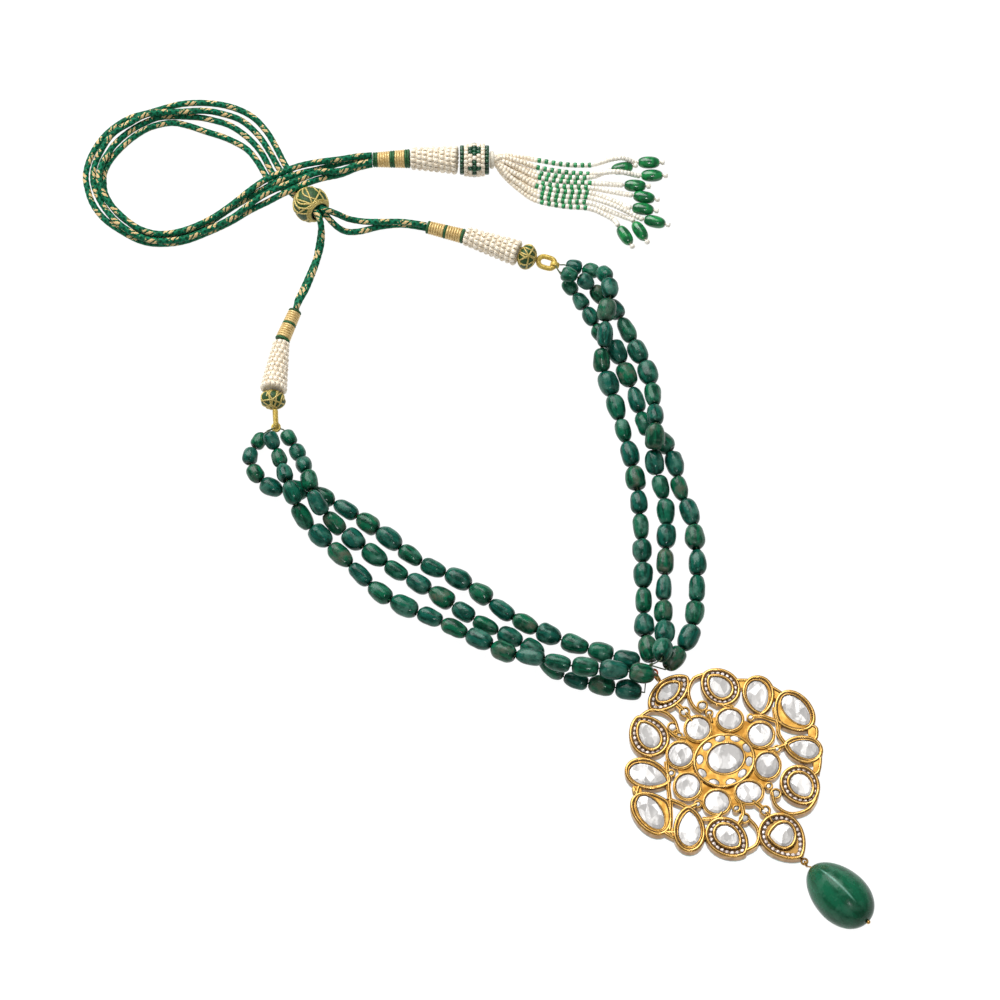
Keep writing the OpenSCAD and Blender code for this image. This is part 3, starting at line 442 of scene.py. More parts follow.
ragged = braid.patches(Scale=1300, Detail=2, Low=0.25, High=0.75)
flowers = None
for shift, side in FLOWERS:
    far = from_middle(calc("ADD", calc("DIVIDE", along, FLOWER_STEP), shift), FLOWER_STEP)
    parts = (calc("MULTIPLY", far, 0.5), from_middle(calc("ADD", around, 1.5 - side), 2 * math.pi * CORD_R))
    reach = calc("SQRT", calc("ADD", *(calc("MULTIPLY", part, part) for part in parts)))
    one = braid.ramp(calc("ADD", reach, calc("MULTIPLY", ragged, 0.9)), 1.46, 1.28)
    flowers = one if flowers is None else calc("MAXIMUM", flowers, one)
flecks = braid.ramp(braid.patches(Scale=800, Detail=1, Low=0.0, High=1.0), 0.8, 0.86)
stitches = calc("MULTIPLY", flowers, braid.ramp(lean_left, -0.65, -0.25))
gold_part = calc("MAXIMUM", stitches, calc("MULTIPLY", flecks, braid.ramp(lean_left, 0.2, 0.6, 0.0, 0.5)))
green = braid.mix(braid.patches(Scale=700, Low=0.3, High=0.7), (0.0, 0.09, 0.038), (0.002, 0.18, 0.085))
# The gaps of the plait are painted darker, as shade between the strands
shaded = braid.mix(braid.ramp(plait, -0.3, 0.6), (0.0, 0.05, 0.02), green)
silk_braid = braid.feed(Base_Color=braid.mix(gold_part, shaded, (0.68, 0.48, 0.23)),
                        Normal=braid.bump(plait, 0.5, 0.00015))
print("finish:", silk_braid.name)

# %% Cord tubes
CORD_SIDES, RING_PITCH = 12, 0.75

def cord_tube(name, rail):
    """The braided tube round a rail, and the middles of its rings."""
    path = rail.every(RING_PITCH)
    last = len(path) - 1
    points = []
    for i, p in enumerate(path):
        u, v = square_to((path[min(i + 1, last)] - path[max(i - 1, 0)]).normalized())
        forth = PLAIT_PACE * rail.length * i / last
        for turn in circle(CORD_SIDES):
            press = max(math.sin(forth + PLAIT_WAVES * turn), math.sin(forth - PLAIT_WAVES * turn))
            points.append(p + (CORD_R - 0.07 + 0.06 * press) * spoke(u, v, turn))
    mesh = soft_mesh(name, points, tube_faces(len(path), CORD_SIDES))
    layer = mesh.uv_layers.new(name="along")
    for face in mesh.polygons:
        seam = len(face.vertices) == 4 and any(v % CORD_SIDES == CORD_SIDES - 1 for v in face.vertices)
        for loop, v in zip(face.loop_indices, face.vertices):
            i, k = divmod(v, CORD_SIDES)
            layer.data[loop].uv = (rail.length * i / last, 1 if seam and k == 0 else k / CORD_SIDES)
    return bpy.data.objects.new(name, mesh), [p * MM for p in path]

for name, rail in cord_rails.items():
    piece, path = cord_tube(name.replace("cord", "braid"), rail)
    place(piece, silk_braid, [name])
    print(piece.name, len(piece.data.polygons), "faces")

# %% [markdown]
# ## Growing repeated things with nodes
# Beads, seeds, windings and rows of tiny stones repeat one small shape many times. A
# Geometry Nodes tree does that: it takes points or a path, puts the shape on each, and
# gives back real faces. The next cell holds the short helpers that build such a tree, set
# its inputs, and turn the result into a plain mesh.

# %% Geometry Nodes helpers
GEOMETRY, MATERIAL = "NodeSocketGeometry", "NodeSocketMaterial"

def growth_tree(name, inputs):
    """A tree that takes a shape, sizes and a finish and gives back a shape."""
    return new_tree(name, "GeometryNodeTree", [("Geometry", GEOMETRY), *inputs, ("Finish", MATERIAL)],
                    [("Geometry", GEOMETRY)])

def finish_tree(tree, given, out, geometry):
    """Every tree ends in the same three steps: real faces, soft shading and a finish."""
    real = step(tree, "GeometryNodeRealizeInstances", {"Geometry": geometry})
    soft = step(tree, "GeometryNodeSetShadeSmooth", {0: real.outputs[0]})
    painted = step(tree, "GeometryNodeSetMaterial", {"Geometry": soft.outputs[0],
                                                     "Material": given.outputs["Finish"]})
    tree.links.new(painted.outputs[0], out.inputs[0])
    return tree

def field(tree, name, kind="FLOAT_VECTOR"):
    return step(tree, "GeometryNodeInputNamedAttribute", data_type=kind, Name=name).outputs[0]

def copies(tree, points, shape, way, **size):
    """The shape on every point, its Z turned along a direction."""
    turn = step(tree, "FunctionNodeAlignRotationToVector", {"Vector": way}, axis="Z")
    return step(tree, "GeometryNodeInstanceOnPoints", {
        "Points": points, "Instance": shape, "Rotation": turn.outputs[0], **size}).outputs[0]

def ring_curve(tree, links=(), **settings):
    return step(tree, "GeometryNodeCurvePrimitiveCircle", links, mode="RADIUS", **settings).outputs["Curve"]

def swept(tree, curve, section):
    return step(tree, "GeometryNodeCurveToMesh", {"Curve": curve, "Profile Curve": section})

def grow(name, source, tree, finish, slot, solids=(), **values):
    """A piece that a tree grows from a source mesh, kept as a plain mesh."""
    piece = bpy.data.objects.new(name, source)
    scene.collection.objects.link(piece)
    modifier = piece.modifiers.new(tree.name, "NODES")
    modifier.node_group = tree
    values["Finish"] = finish
    for socket in tree.interface.items_tree:
        label = socket.name.replace(" ", "_")
        if socket.in_out == "INPUT" and label in values:
            modifier[socket.identifier] = values[label]
    made = bpy.data.meshes.new_from_object(piece.evaluated_get(bpy.context.evaluated_depsgraph_get()))
    piece.modifiers.remove(modifier)
    piece.data = made
    made.name = name
    place(piece, finish, solids)
    print(name, "has", len(made.polygons), "faces")
    return piece

print("growing helpers ready")

# %% [markdown]
# ## Emerald beads
# Each bead is a tumbled barrel: fuller than a ball, drilled from end to end, its ends a
# little sunken round the hole, often wider at one end, and never quite round. The tree
# bends a ball into that barrel, puts one on each point of a string, leans it to its wider
# end, and then pushes the surface in and out by a noise that is read in place, so no two
# beads are alike. Each keeps its own coordinates and tone for the finish to read.

# %% Bead tree
beads, given, out = growth_tree("Tumbled beads", [
    ("Fullness", FLOAT, 0.8), ("Unevenness", FLOAT, 0.0008), ("Lump size", FLOAT, 230.0),
    ("Rings", WHOLE, 22)])
HOLE_EDGE, HOLE_RIM, HOLE_DEPTH = 0.16, 0.3, 0.72

def number(kind, a, b=None):
    """One sum of two fields in the bead tree."""
    made = step(beads, "ShaderNodeMath", {0: a}, operation=kind)
    if isinstance(b, float):
        made.inputs[1].default_value = b
    elif b is not None:
        beads.links.new(b, made.inputs[1])
    return made.outputs[0]

def arrow(kind, links, output=0):
    """One sum of two vectors in the bead tree."""
    return step(beads, "ShaderNodeVectorMath", links, operation=kind).outputs[output]

def parts_of(vector):
    return step(beads, "ShaderNodeSeparateXYZ", {"Vector": vector}).outputs

def moved(geometry, **how):
    return step(beads, "GeometryNodeSetPosition", {"Geometry": geometry, **how}).outputs[0]

ball = step(beads, "GeometryNodeMeshUVSphere", {"Rings": given.outputs["Rings"]}, Segments=32, Radius=1.0)
at = step(beads, "GeometryNodeInputPosition").outputs[0]
own = step(beads, "GeometryNodeStoreNamedAttribute", {"Geometry": ball.outputs["Mesh"]},
           data_type="FLOAT_VECTOR", Name="local")
beads.links.new(at, next(socket for socket in own.inputs if socket.name == "Value" and socket.enabled))
high = parts_of(at)["Z"]
flat = step(beads, "ShaderNodeVectorMath", {0: at}, operation="MULTIPLY")
flat.inputs[1].default_value = (1, 1, 0)
girth = arrow("LENGTH", {0: flat.outputs[0]}, "Value")
grown = number("DIVIDE", number("POWER", girth, given.outputs["Fullness"]), girth)
tall = number("POWER", number("ABSOLUTE", high), given.outputs["Fullness"])
sink = step(beads, "ShaderNodeMapRange", {"Value": girth}, interpolation_type="SMOOTHSTEP",
            From_Min=HOLE_EDGE, From_Max=HOLE_RIM, To_Min=HOLE_DEPTH, To_Max=1.0)
up = number("MULTIPLY", number("SIGN", high), number("MULTIPLY", tall, sink.outputs[0]))
wide = parts_of(arrow("SCALE", {0: flat.outputs[0], 3: grown}))
barrel = step(beads, "ShaderNodeCombineXYZ", {"X": wide["X"], "Y": wide["Y"], "Z": up})
shape = moved(own.outputs[0], Position=barrel.outputs[0])
way = field(beads, "direction")
many = copies(beads, given.outputs["Geometry"], shape, way, Scale=field(beads, "size"))
real = step(beads, "GeometryNodeRealizeInstances", {"Geometry": many})
apart = arrow("SUBTRACT", {0: at, 1: field(beads, "middle")})
lengthwise = arrow("SCALE", {0: way, 3: arrow("DOT_PRODUCT", {0: apart, 1: way}, "Value")})
outward = arrow("SUBTRACT", {0: apart, 1: lengthwise})
taper = number("MULTIPLY", field(beads, "lean", "FLOAT"), parts_of(field(beads, "local"))["Z"])
leaning = moved(real.outputs[0], Offset=arrow("SCALE", {0: outward, 3: taper}))
lumps = step(beads, "ShaderNodeTexNoise", {"Scale": given.outputs["Lump size"]}, Detail=1)
push = number("MULTIPLY", number("SUBTRACT", lumps.outputs[0], 0.6), given.outputs["Unevenness"])
away = arrow("SCALE", {0: step(beads, "GeometryNodeInputNormal").outputs[0], 3: push})
finish_tree(beads, given, out, moved(leaning, Offset=away))
print("tree:", beads.name, len(beads.nodes), "nodes")

# %% Bead places
BEAD_D, BEAD_GAP = 6.2, 0.3
# Length and diameter of a string's first beads, as shares of the usual ones
FIRST_BEADS = [(0.68, 0.84), (0.7, 0.86), (0.76, 0.9), (0.9, 0.96)]
LAST_DIA = 1.1

def sine(degrees):
    return math.sin(math.radians(degrees))

def bead_places(count, phase, route):
    """Middle, direction, length, diameter, taper and tone of each bead of a string."""
    rail = Rail(smooth(laid(route, 0), lowest=0))
    small = len(FIRST_BEADS)
    share = [FIRST_BEADS[i][0] if i < small else 1 + 0.06 * sine(137 * i + phase) for i in range(count)]
    before = [sum(share[:i]) for i in range(count)]
    first = share[0] / 2
    one = rail.length / (before[-1] + share[-1] / 2 - first)
    row = []
    for i in range(count):
        pitch = one * share[i]
        mid = one * (before[i] + share[i] / 2 - first)
        d = (rail.at(mid + pitch / 2) - rail.at(mid - pitch / 2)).normalized()
        usual = LAST_DIA if i > count - 3 else 1 + 0.11 * sine(97 * i + phase)
        width = BEAD_D * (FIRST_BEADS[i][1] if i < small else usual)
        row.append((rail.at(mid) + Vector((0, 0, width / 2 + 0.15)), d, pitch - BEAD_GAP, width,
                    0.14 * sine(61 * i + phase), 0.5 + 0.5 * sine(151 * i + 2 * phase)))
    return row

STRINGS = {
    # name: number of beads, a turn that shifts the pattern of their sizes, route of their
    # undersides, where points without a height lie on the table
    "strand_left_upper": (19, 60, [
        (-153.2, 111.6), (-156.1, 106), (-153.7, 99.2), (-147.4, 94.3), (-139.5, 93.5),
        (-129.6, 90.4), (-115.3, 80.9), (-100.5, 69.3), (-85.5, 61.7), (-71.7, 51.1),
        (-55.9, 42.4), (-32.2, 34.4),
    ]),
    "strand_left_middle": (19, 200, [
        (-143.4, 112.6), (-141, 108.5), (-139.3, 104.5, 1), (-136.9, 97.9, 4.5), (-134.9, 89.5, 6),
        (-129.9, 83.9, 2), (-124, 78.3), (-110, 67.3), (-94.9, 57.7), (-80.8, 48), (-64.4, 38.9),
        (-56.6, 31.6), (-48.8, 27.5), (-31.5, 24),
    ]),
    "strand_left_lower": (19, 310, [
        (-148.9, 109.7, 5), (-146.2, 103.5, 4), (-143.5, 94.4, 6.9), (-140.4, 87.5, 4.4),
        (-136.4, 81.6), (-123.1, 68.2), (-110.6, 56.2), (-94, 48.3), (-78.1, 39.4, 3),
        (-70.5, 35.2, 3.8), (-61.6, 33.4, 5.7), (-52.7, 30.7, 6.4), (-43.5, 29.5, 6.1),
        (-34.9, 28.8, 5.4), (-27.3, 27.9, 4.9),
    ]),
    "strand_right_inner": (19, 120, [
        (-48.9, 174), (-43.5, 172.6), (-38.6, 169.7, 3.2), (-37, 161.6, 6.7), (-38.3, 154.7, 5.6),
        (-38.8, 146.3, 5.8), (-39.9, 138.9, 2.2), (-37.3, 130.9), (-32.6, 114.3), (-28.9, 98.2),
        (-27.3, 81.8), (-26.5, 63.5), (-26.4, 46), (-25, 38.2),
    ]),
    "strand_right_middle": (19, 260, [
        (-50.5, 168.8, 5.4), (-45.4, 166.9, 4.8), (-40, 163, 0.3), (-34.3, 156.8), (-28, 143.6),
        (-24.8, 136.6), (-23.2, 128.8, 2), (-22.4, 120.5, 5), (-22.3, 111.9, 7.4),
        (-22.7, 103.8, 1.6), (-19, 87.6), (-19.2, 70.2), (-20.1, 53.9), (-19.6, 45.4, 1.5),
        (-20.6, 35.1, 7.2),
    ]),
    "strand_right_outer": (18, 20, [
        (-50.2, 166.6), (-46.8, 161.5, 0.4), (-43.6, 156, 0.4), (-40.6, 150.6), (-35.6, 144.6),
        (-30, 131), (-24.9, 115.9), (-18, 109), (-15.5, 101.5), (-13.9, 92.9), (-10.7, 84.9),
        (-8.7, 68), (-9.9, 50.2), (-12.2, 41.3), (-16.7, 34.4, 1.1),
    ]),
}
rows = {name: bead_places(*data) for name, data in STRINGS.items()}
print("beads:", sum(len(row) for row in rows.values()))

# %% [markdown]
# ## Emerald finish
# Emerald is deep green stone that lets some light in, so its thin flanks glow while its
# heart stays dark. Growth streaks run the length of a bead, pale veils cloud it, its ends
# are darker, and a tone of its own makes each bead more teal or more green. A gently
# waved skin breaks up the polish.

# %% Emerald
def emerald_finish(name, deep, teal, green, veil, smooth_part=0.16, dull_part=0.3, crest_highlight=False):
    """Colours from the darkest to the palest, roughness of clear and veiled parts, and a pale painted
    highlight line along the crest.
    """
    stone = Finish(name, IOR=1.5, Specular_IOR_Level=0.24, Subsurface_Weight=0.2,
                   Subsurface_Radius=(0.1, 0.6, 0.35), Subsurface_Scale=0.003)
    calc = stone.math
    local, tone = stone.attribute("local", "Vector"), stone.attribute("tone")
    lengthwise = stone.stretch(local, (1.0, 1.0, 0.3), calc("MULTIPLY", tone, 40.0))
    streaks = stone.patches(lengthwise, Scale=2.6, Detail=4, Low=0.36, High=0.64)
    veils = stone.patches(Scale=300, Detail=4, Low=0.44, High=0.7)
    body = stone.mix(stone.ramp(tone, 0.15, 0.85), teal, green)
    streaked = stone.mix(stone.ramp(streaks, 0, 1, 0.28, 1.0), deep, body)
    veiled = stone.mix(calc("MULTIPLY", veils, 0.55), streaked, veil)
    side, front, along = stone.split(local)
    far = calc("ABSOLUTE", along)
    smoky = stone.mix(calc("MULTIPLY", stone.ramp(tone, 0.84, 0.96), veils), veiled, (0.07, 0.09, 0.055))
    colour = stone.mix(stone.ramp(far, 0.7, 1.0, 0.0, 0.8), smoky, deep)
    if crest_highlight:
        # A pale line along the crest, fading towards the ends, is a painted highlight
        line = calc("MULTIPLY", stone.ramp(calc("ABSOLUTE", side), 0.055, 0.01),
                    stone.ramp(front, -0.9, -0.96))
        painted_highlight = calc("MULTIPLY", stone.ramp(far, 0.7, 0.45), stone.ramp(veils, 0, 1, 1.0, 0.5))
        colour = stone.mix(calc("MULTIPLY", line, painted_highlight), colour, (0.12, 0.3, 0.22))
    return stone.feed(Base_Color=colour, Roughness=stone.ramp(veils, 0, 1, smooth_part, dull_part),
                      Normal=stone.skin(230, 0.4, 0.0006))

emerald = emerald_finish("emerald", (0.0005, 0.012, 0.007), (0.004, 0.094, 0.064),
                         (0.003, 0.112, 0.051), (0.078, 0.215, 0.158))
print("finish:", emerald.name)

# %% Strings of beads
# The visible beads are a little longer than the solids, so that they touch as in the photo
HALF_LENGTH = 0.525
for name, row in rows.items():
    middles, ways, lengths, widths, leans, tones = zip(*row)
    sizes = [(w / 2 * MM, w / 2 * MM, long * HALF_LENGTH * MM) for w, long in zip(widths, lengths)]
    source = mesh_of(name + "_middles", middles, direction=ways, middle=[p * MM for p in middles],
                     lean=leans, tone=tones, size=sizes)
    grow(name.replace("strand", "beads"), source, beads, emerald, "emerald", [name])

# %% [markdown]
# ## Seed beads and tiny stones
# A seed bead is a short glass tube with round edges. One tree strings any number of one
# small shape on given points, each turned along its own direction, so it also sets the
# tiny stones of the pendant. Each seed carries a shade, which the finish reads to choose
# the bead's colour.

# %% Small-shape tree
def small_tree(name, shape):
    """Puts a small shape of a given width and length on each point."""
    tree, given, out = growth_tree(name, [("Width", FLOAT, 0.001), ("Length", FLOAT, 0.001)])
    half = {}
    for label in ("Width", "Length"):
        made = step(tree, "ShaderNodeMath", {0: given.outputs[label]}, operation="MULTIPLY")
        made.inputs[1].default_value = 0.5
        half[label] = made.outputs[0]
    size = step(tree, "ShaderNodeCombineXYZ", {
        "X": half["Width"], "Y": half["Width"], "Z": half["Length"]}).outputs[0]
    many = copies(tree, given.outputs["Geometry"], shape(tree), field(tree, "direction"), Scale=size)
    return finish_tree(tree, given, out, many)

def tube_shape(tree):
    """A ring whose section is a tall oval, which is a seed bead's form."""
    section = ring_curve(tree, Resolution=7, Radius=1.0)
    tall = step(tree, "GeometryNodeTransform", {"Geometry": section}, Scale=(0.34, 1.0, 1.0))
    return swept(tree, ring_curve(tree, Resolution=10, Radius=0.66), tall.outputs[0]).outputs[0]

def chip_shape(tree):
    """A tiny stone: a low cone cut off flat, with eight sides."""
    return step(tree, "GeometryNodeMeshCone", Vertices=8, Radius_Top=0.5, Radius_Bottom=1.0,
                Depth=1.0).outputs["Mesh"]

seeds = small_tree("Seed beads", tube_shape)
chips = small_tree("Tiny stones", chip_shape)
print("trees:", seeds.name, chips.name)

# %% [markdown]
# ## Windings and threads
# The gold loops are wound with wire-fine thread. The winding tree walks along a path and
# sets one closed turn of thread at every step. A second tree sweeps a round thread or wire
# along any path, for silk, netting, strings, collars and the turns of the bindings.

# %% Path trees
def path_curve(tree, given):
    return step(tree, "GeometryNodeMeshToCurve", {"Mesh": given.outputs["Geometry"]}).outputs[0]

winding, given, out = growth_tree("Wound thread", [
    ("Core radius", FLOAT, 0.001), ("Thread radius", FLOAT, 0.0002), ("Step", FLOAT, 0.0004)])
marks = step(winding, "GeometryNodeResampleCurve", {
    "Curve": path_curve(winding, given), "Length": given.outputs["Step"]}, mode="LENGTH").outputs[0]
one_turn = swept(winding, ring_curve(winding, {"Radius": given.outputs["Core radius"]}, Resolution=20),
                 ring_curve(winding, {"Radius": given.outputs["Thread radius"]}, Resolution=5))
tangent = step(winding, "GeometryNodeInputTangent").outputs[0]
finish_tree(winding, given, out, copies(winding, marks, one_turn.outputs[0], tangent))

sweep, given, out = growth_tree("Swept thread", [("Radius", FLOAT, 0.0003), ("Sides", WHOLE, 8)])
section = ring_curve(sweep, {"Radius": given.outputs["Radius"], "Resolution": given.outputs["Sides"]})
tube = swept(sweep, path_curve(sweep, given), section)
tube.inputs["Fill Caps"].default_value = True
finish_tree(sweep, given, out, tube.outputs[0])

def path_mesh(name, paths, closed=True):
    """One mesh of edges that holds several paths."""
    points, edges = [], []
    for p in paths:
        base = len(points)
        points += list(p)
        edges += [(base + i, base + i + 1) for i in range(len(p) - 1)]
        if closed:
            edges.append((base + len(p) - 1, base))
    return mesh_of(name, points, edges=edges)

def draw(name, paths, radius, finish, slot, solids=(), closed=True, sides=8):
    """A piece of round threads or wires, one along each path."""
    return grow(name, path_mesh(name, paths, closed), sweep, finish, slot, solids,
                Radius=radius * MM, Sides=sides)

print("trees:", winding.name, sweep.name)

# %% [markdown]
# ## Finishes of the silk, the seeds and the thread
# Seed beads are opaque glass with a bright coat. Their shade says cream, white or green.
# Gold thread is a metal strip round a core, so it glints in short dashes. Silk is soft and
# fibrous.

# %% Small finishes
# Shade 0 is cream, 0.25 white, 0.75 bright green and 1 dark green
glass = Finish("seed_glass", Roughness=0.3, Coat_Weight=0.3, Coat_Roughness=0.12)
shade = glass.attribute("shade")
tint = glass.patches(Scale=700, Low=0.35, High=0.65)
cream = glass.mix(tint, (0.76, 0.64, 0.47), (0.92, 0.83, 0.68))
white = glass.mix(tint, (0.76, 0.7, 0.59), (0.91, 0.87, 0.78))
bright = glass.mix(tint, (0.004, 0.15, 0.04), (0.015, 0.3, 0.09))
dark = glass.mix(tint, (0.0, 0.035, 0.012), (0.003, 0.09, 0.03))
pale = glass.mix(glass.ramp(shade, 0.1, 0.2), cream, white)
green = glass.mix(glass.ramp(shade, 0.8, 0.95), bright, dark)
seed_glass = glass.feed(Base_Color=glass.mix(glass.ramp(shade, 0.4, 0.6), pale, green),
                        Normal=glass.skin(1600, 0.1, 0.0001))

def string_seeds(name, places, ways, shades, width, length, solids=()):
    """A piece of seed beads, each with its place, direction and shade."""
    return grow(name, mesh_of(name, places, direction=ways, shade=shades), seeds, seed_glass,
                "seed_beads", solids, Width=width * MM, Length=length * MM)

def two_tone(name, scale, detail, low, high, dark, light, skin=None, **plain):
    """A finish that is dark in some soft-edged patches and light in others."""
    made = Finish(name, **plain)
    sources = {"Normal": made.skin(*skin)} if skin else {}
    patches = made.patches(Scale=scale, Detail=detail, Low=low, High=high)
    return made.feed(Base_Color=made.mix(patches, dark, light), **sources)

def thread_finish(name, dark, light, metal, rough):
    made = Finish(name, Metallic=metal)
    fibre = made.patches(Scale=1900, Detail=3, Low=0.3, High=0.7)
    return made.feed(Base_Color=made.mix(fibre, dark, light), Normal=made.skin(3000, 0.3, 0.0001),
                     Roughness=made.ramp(fibre, 0, 1, rough + 0.12, rough))

bound_thread = thread_finish("bound_thread", (0.5, 0.33, 0.11), (0.8, 0.6, 0.27), 0.3, 0.36)
loop_thread = thread_finish("loop_thread", (0.52, 0.37, 0.06), (0.78, 0.6, 0.17), 0.4, 0.32)
net_thread = thread_finish("net_thread", (0.4, 0.3, 0.06), (0.66, 0.53, 0.2), 0.3, 0.42)
green_thread = thread_finish("green_thread", (0.0, 0.04, 0.01), (0.015, 0.13, 0.03), 0.0, 0.55)
bead_silk = thread_finish("bead_silk", (0.02, 0.05, 0.02), (0.1, 0.14, 0.05), 0.0, 0.6)
cream_silk = thread_finish("cream_silk", (0.72, 0.64, 0.5), (0.9, 0.84, 0.72), 0.0, 0.6)
orange_silk = thread_finish("orange_silk", (0.42, 0.05, 0.01), (0.75, 0.15, 0.03), 0.0, 0.5)
dark_silk = thread_finish("dark_silk", (0.003, 0.03, 0.004), (0.02, 0.09, 0.012), 0.0, 0.5)
print("finishes:", seed_glass.name, bound_thread.name, bead_silk.name)

# %% [markdown]
# ## Bindings and gold loops
# Each pair of cords is bound with turns of thick pale gold thread, with a few turns of green
# between, round a core that widens towards the cone. The gold loops that hold the strings
# of beads are bent wires wound all round with much finer thread.

# %% Bindings
BINDINGS = {
    # name: ends, diameters at them, parts of the length that are green
    "wrap_left": (LEFT_WRAP, 4.5, 5.2, [(0.0, 0.1), (0.42, 0.52), (0.9, 1.0)]),
    "wrap_right": (RIGHT_WRAP, 4.5, 5.2, [(0.0, 0.08), (0.45, 0.55), (0.92, 1.0)]),
    "tassel_wrap": (TASSEL_WRAP, 5.1, 6.6, [(0.0, 0.14), (0.48, 0.58), (0.88, 1.0)]),
}
BOUND_R, BOUND_PITCH = 0.46, 0.85

def ring_path(middle, axis, radius, steps=28):
    d = axis.normalized()
    u = d.orthogonal().normalized()
    return [middle + radius * spoke(u, d.cross(u), turn) for turn in circle(steps)]

for name, ((a, b), d0, d1, green_parts) in BINDINGS.items():
    length = (b - a).length
    turned(name + "_core", (a, b), [(d0 / 2 - 0.5, 0), (d1 / 2 - 0.5, length)], 24, dark_silk,
           [name], mesh_of)
    turns = {"gold": [], "green": []}
    count = round(length / BOUND_PITCH)
    for k in range(count):
        share = (k + 0.5) / count
        kind = "green" if any(lo <= share <= hi for lo, hi in green_parts) else "gold"
        radius = d0 / 2 + (d1 - d0) / 2 * share - BOUND_R
        turns[kind].append(ring_path(a.lerp(b, share), b - a, radius, 24))
    for kind, thread in (("gold", bound_thread), ("green", green_thread)):
        draw(f"{name}_{kind}", turns[kind], BOUND_R, thread, "metal_thread")

# %% Gold loops
LOOP_HEIGHT, LOOP_WIRE, TURN_WIRE = 5.6, 1.8, 0.16
LEFT_LOOP = [Vector((-148.0, 122.6, 3.6)), Vector((-147.6, 115.2, 3.4))]
RIGHT_LOOP = [Vector((-61.6, 176.4, 3.4)), Vector((-54.4, 174.5, 2.6))]

def loop_path(ends, upright, steps=14):
    """The middle line of a long loop: two half rings with straight runs between them."""
    d = (ends[1] - ends[0]).normalized()
    side = d.cross(across(d)) if upright else across(d)
    bend = (LOOP_HEIGHT - LOOP_WIRE) / 2
    centres = [ends[0] + LOOP_HEIGHT / 2 * d, ends[1] - LOOP_HEIGHT / 2 * d]
    return [c + way * bend * spoke(d, side, math.pi * (k / steps - 0.5))
            for c, way in zip(centres, (-1, 1)) for k in range(steps + 1)]

for name, ends, upright in (("loop_left", LEFT_LOOP, True), ("loop_right", RIGHT_LOOP, False)):
    ring = [loop_path(ends, upright)]
    draw(name + "_core", ring, LOOP_WIRE / 2 - TURN_WIRE, loop_thread, "gold", [name], sides=12)
    grow(name + "_turns", path_mesh(name, ring), winding, loop_thread, "gold",
         Core_radius=(LOOP_WIRE / 2 - 0.15) * MM, Thread_radius=TURN_WIRE * MM, Step=0.3 * MM)

# %% [markdown]
# ## Knobs and the slider
# These are wooden beads covered in dark green silk under a loose net of yellow thread.
# Threads fan out like the rays of a star from a knot on top and from the end where the
# loop leaves, and turns of thread close that end in a collar.

# %% Netted balls
LEFT_CONE = [Vector((-146.2, 146.7, 3.0)), Vector((-148.7, 128.6, 4.8))]
RIGHT_CONE = [Vector((-85.1, 184.9, 3.5)), Vector((-67.4, 178.0, 4.7))]
# Radius, half length, rays from the far end, rays from the top and their reach, and the
# parts of a half turn from the near end to the far one over which the net runs
KNOB = (4.1, 2.9, 8, 5, 0.45, 0.12, 0.94)
BALLS = {
    "knob_left": (Vector((-148.8, 125.6, 4.2)), LEFT_CONE[1] - LEFT_CONE[0], *KNOB),
    "knob_right": (Vector((-64.5, 177.0, 4.2)), RIGHT_CONE[1] - RIGHT_CONE[0], *KNOB),
    "slider": (SLIDER_AT, SLIDER_DIR, 5.85, 5.85, 12, 7, 0.36, 0.2, 0.8),
}
NET_R, RAY_STEPS, COLLAR_PITCH = 0.3, 16, 0.09

def arc(a, b, steps=14):
    """Directions from one to another along the shortest way round."""
    angle = a.angle(b)
    return [(math.sin(angle * (1 - k / steps)) * a + math.sin(angle * k / steps) * b) / math.sin(angle)
            for k in range(steps + 1)]

for name, (middle, axis, radius, half, rays, star, reach, near, far) in BALLS.items():
    d = axis.normalized()
    u, v = square_to(d)
    low, high = math.pi * near, math.pi * far

    def on(lat, turn):
        return -math.cos(lat) * d + math.sin(lat) * spoke(u, v, turn)

    def skin(way):
        """The point of the ball's skin in a direction."""
        long_part = way.dot(d)
        return middle + half * long_part * d + radius * (way - long_part * d)

    net = []
    for k, turn in enumerate(circle(rays)):
        bend = 0.5 + 0.25 * math.sin(5 * k)
        net.append([on(low + (high - low) * i / RAY_STEPS, turn + bend * math.sin(math.pi * i / RAY_STEPS))
                    for i in range(RAY_STEPS + 1)])
        net.append(arc(on(low, turn), on(math.pi * (0.5 + 0.08 * (-1) ** k), turn + 0.5), 8))
    hub = (Vector((0, -0.3, 1)) + 0.25 * d).normalized()
    for turn in circle(star):
        rim = spoke(d, hub.cross(d), turn).normalized()
        net.append(arc(hub, spoke(hub, rim, math.pi * reach).normalized()))
    paths = [[skin(way) for way in line
              if low - 0.02 < math.acos(max(-1, min(1, -way.dot(d)))) < high + 0.02] for line in net]
    collar = [[skin(on(edge + way * k * COLLAR_PITCH, turn)) for turn in circle(28)]
              for edge, way in ((high, -1), (low, 1)) for k in range(3)]
    paint(nodes[name], dark_silk)
    draw(name + "_net", [p for p in paths if len(p) > 2], NET_R, net_thread, "netted_silk",
         closed=False, sides=6)
    draw(name + "_collar", collar, NET_R, net_thread, "netted_silk", sides=6)

# %% [markdown]
# ## Cones and the barrel of seed beads
# A string of cream seed beads is wound round each cone, so the holes of its seeds point
# round the cone and its turns lie side by side. The barrel above the tassel is woven: its
# seeds point along it, each row half a seed off the one before, with green diamonds.

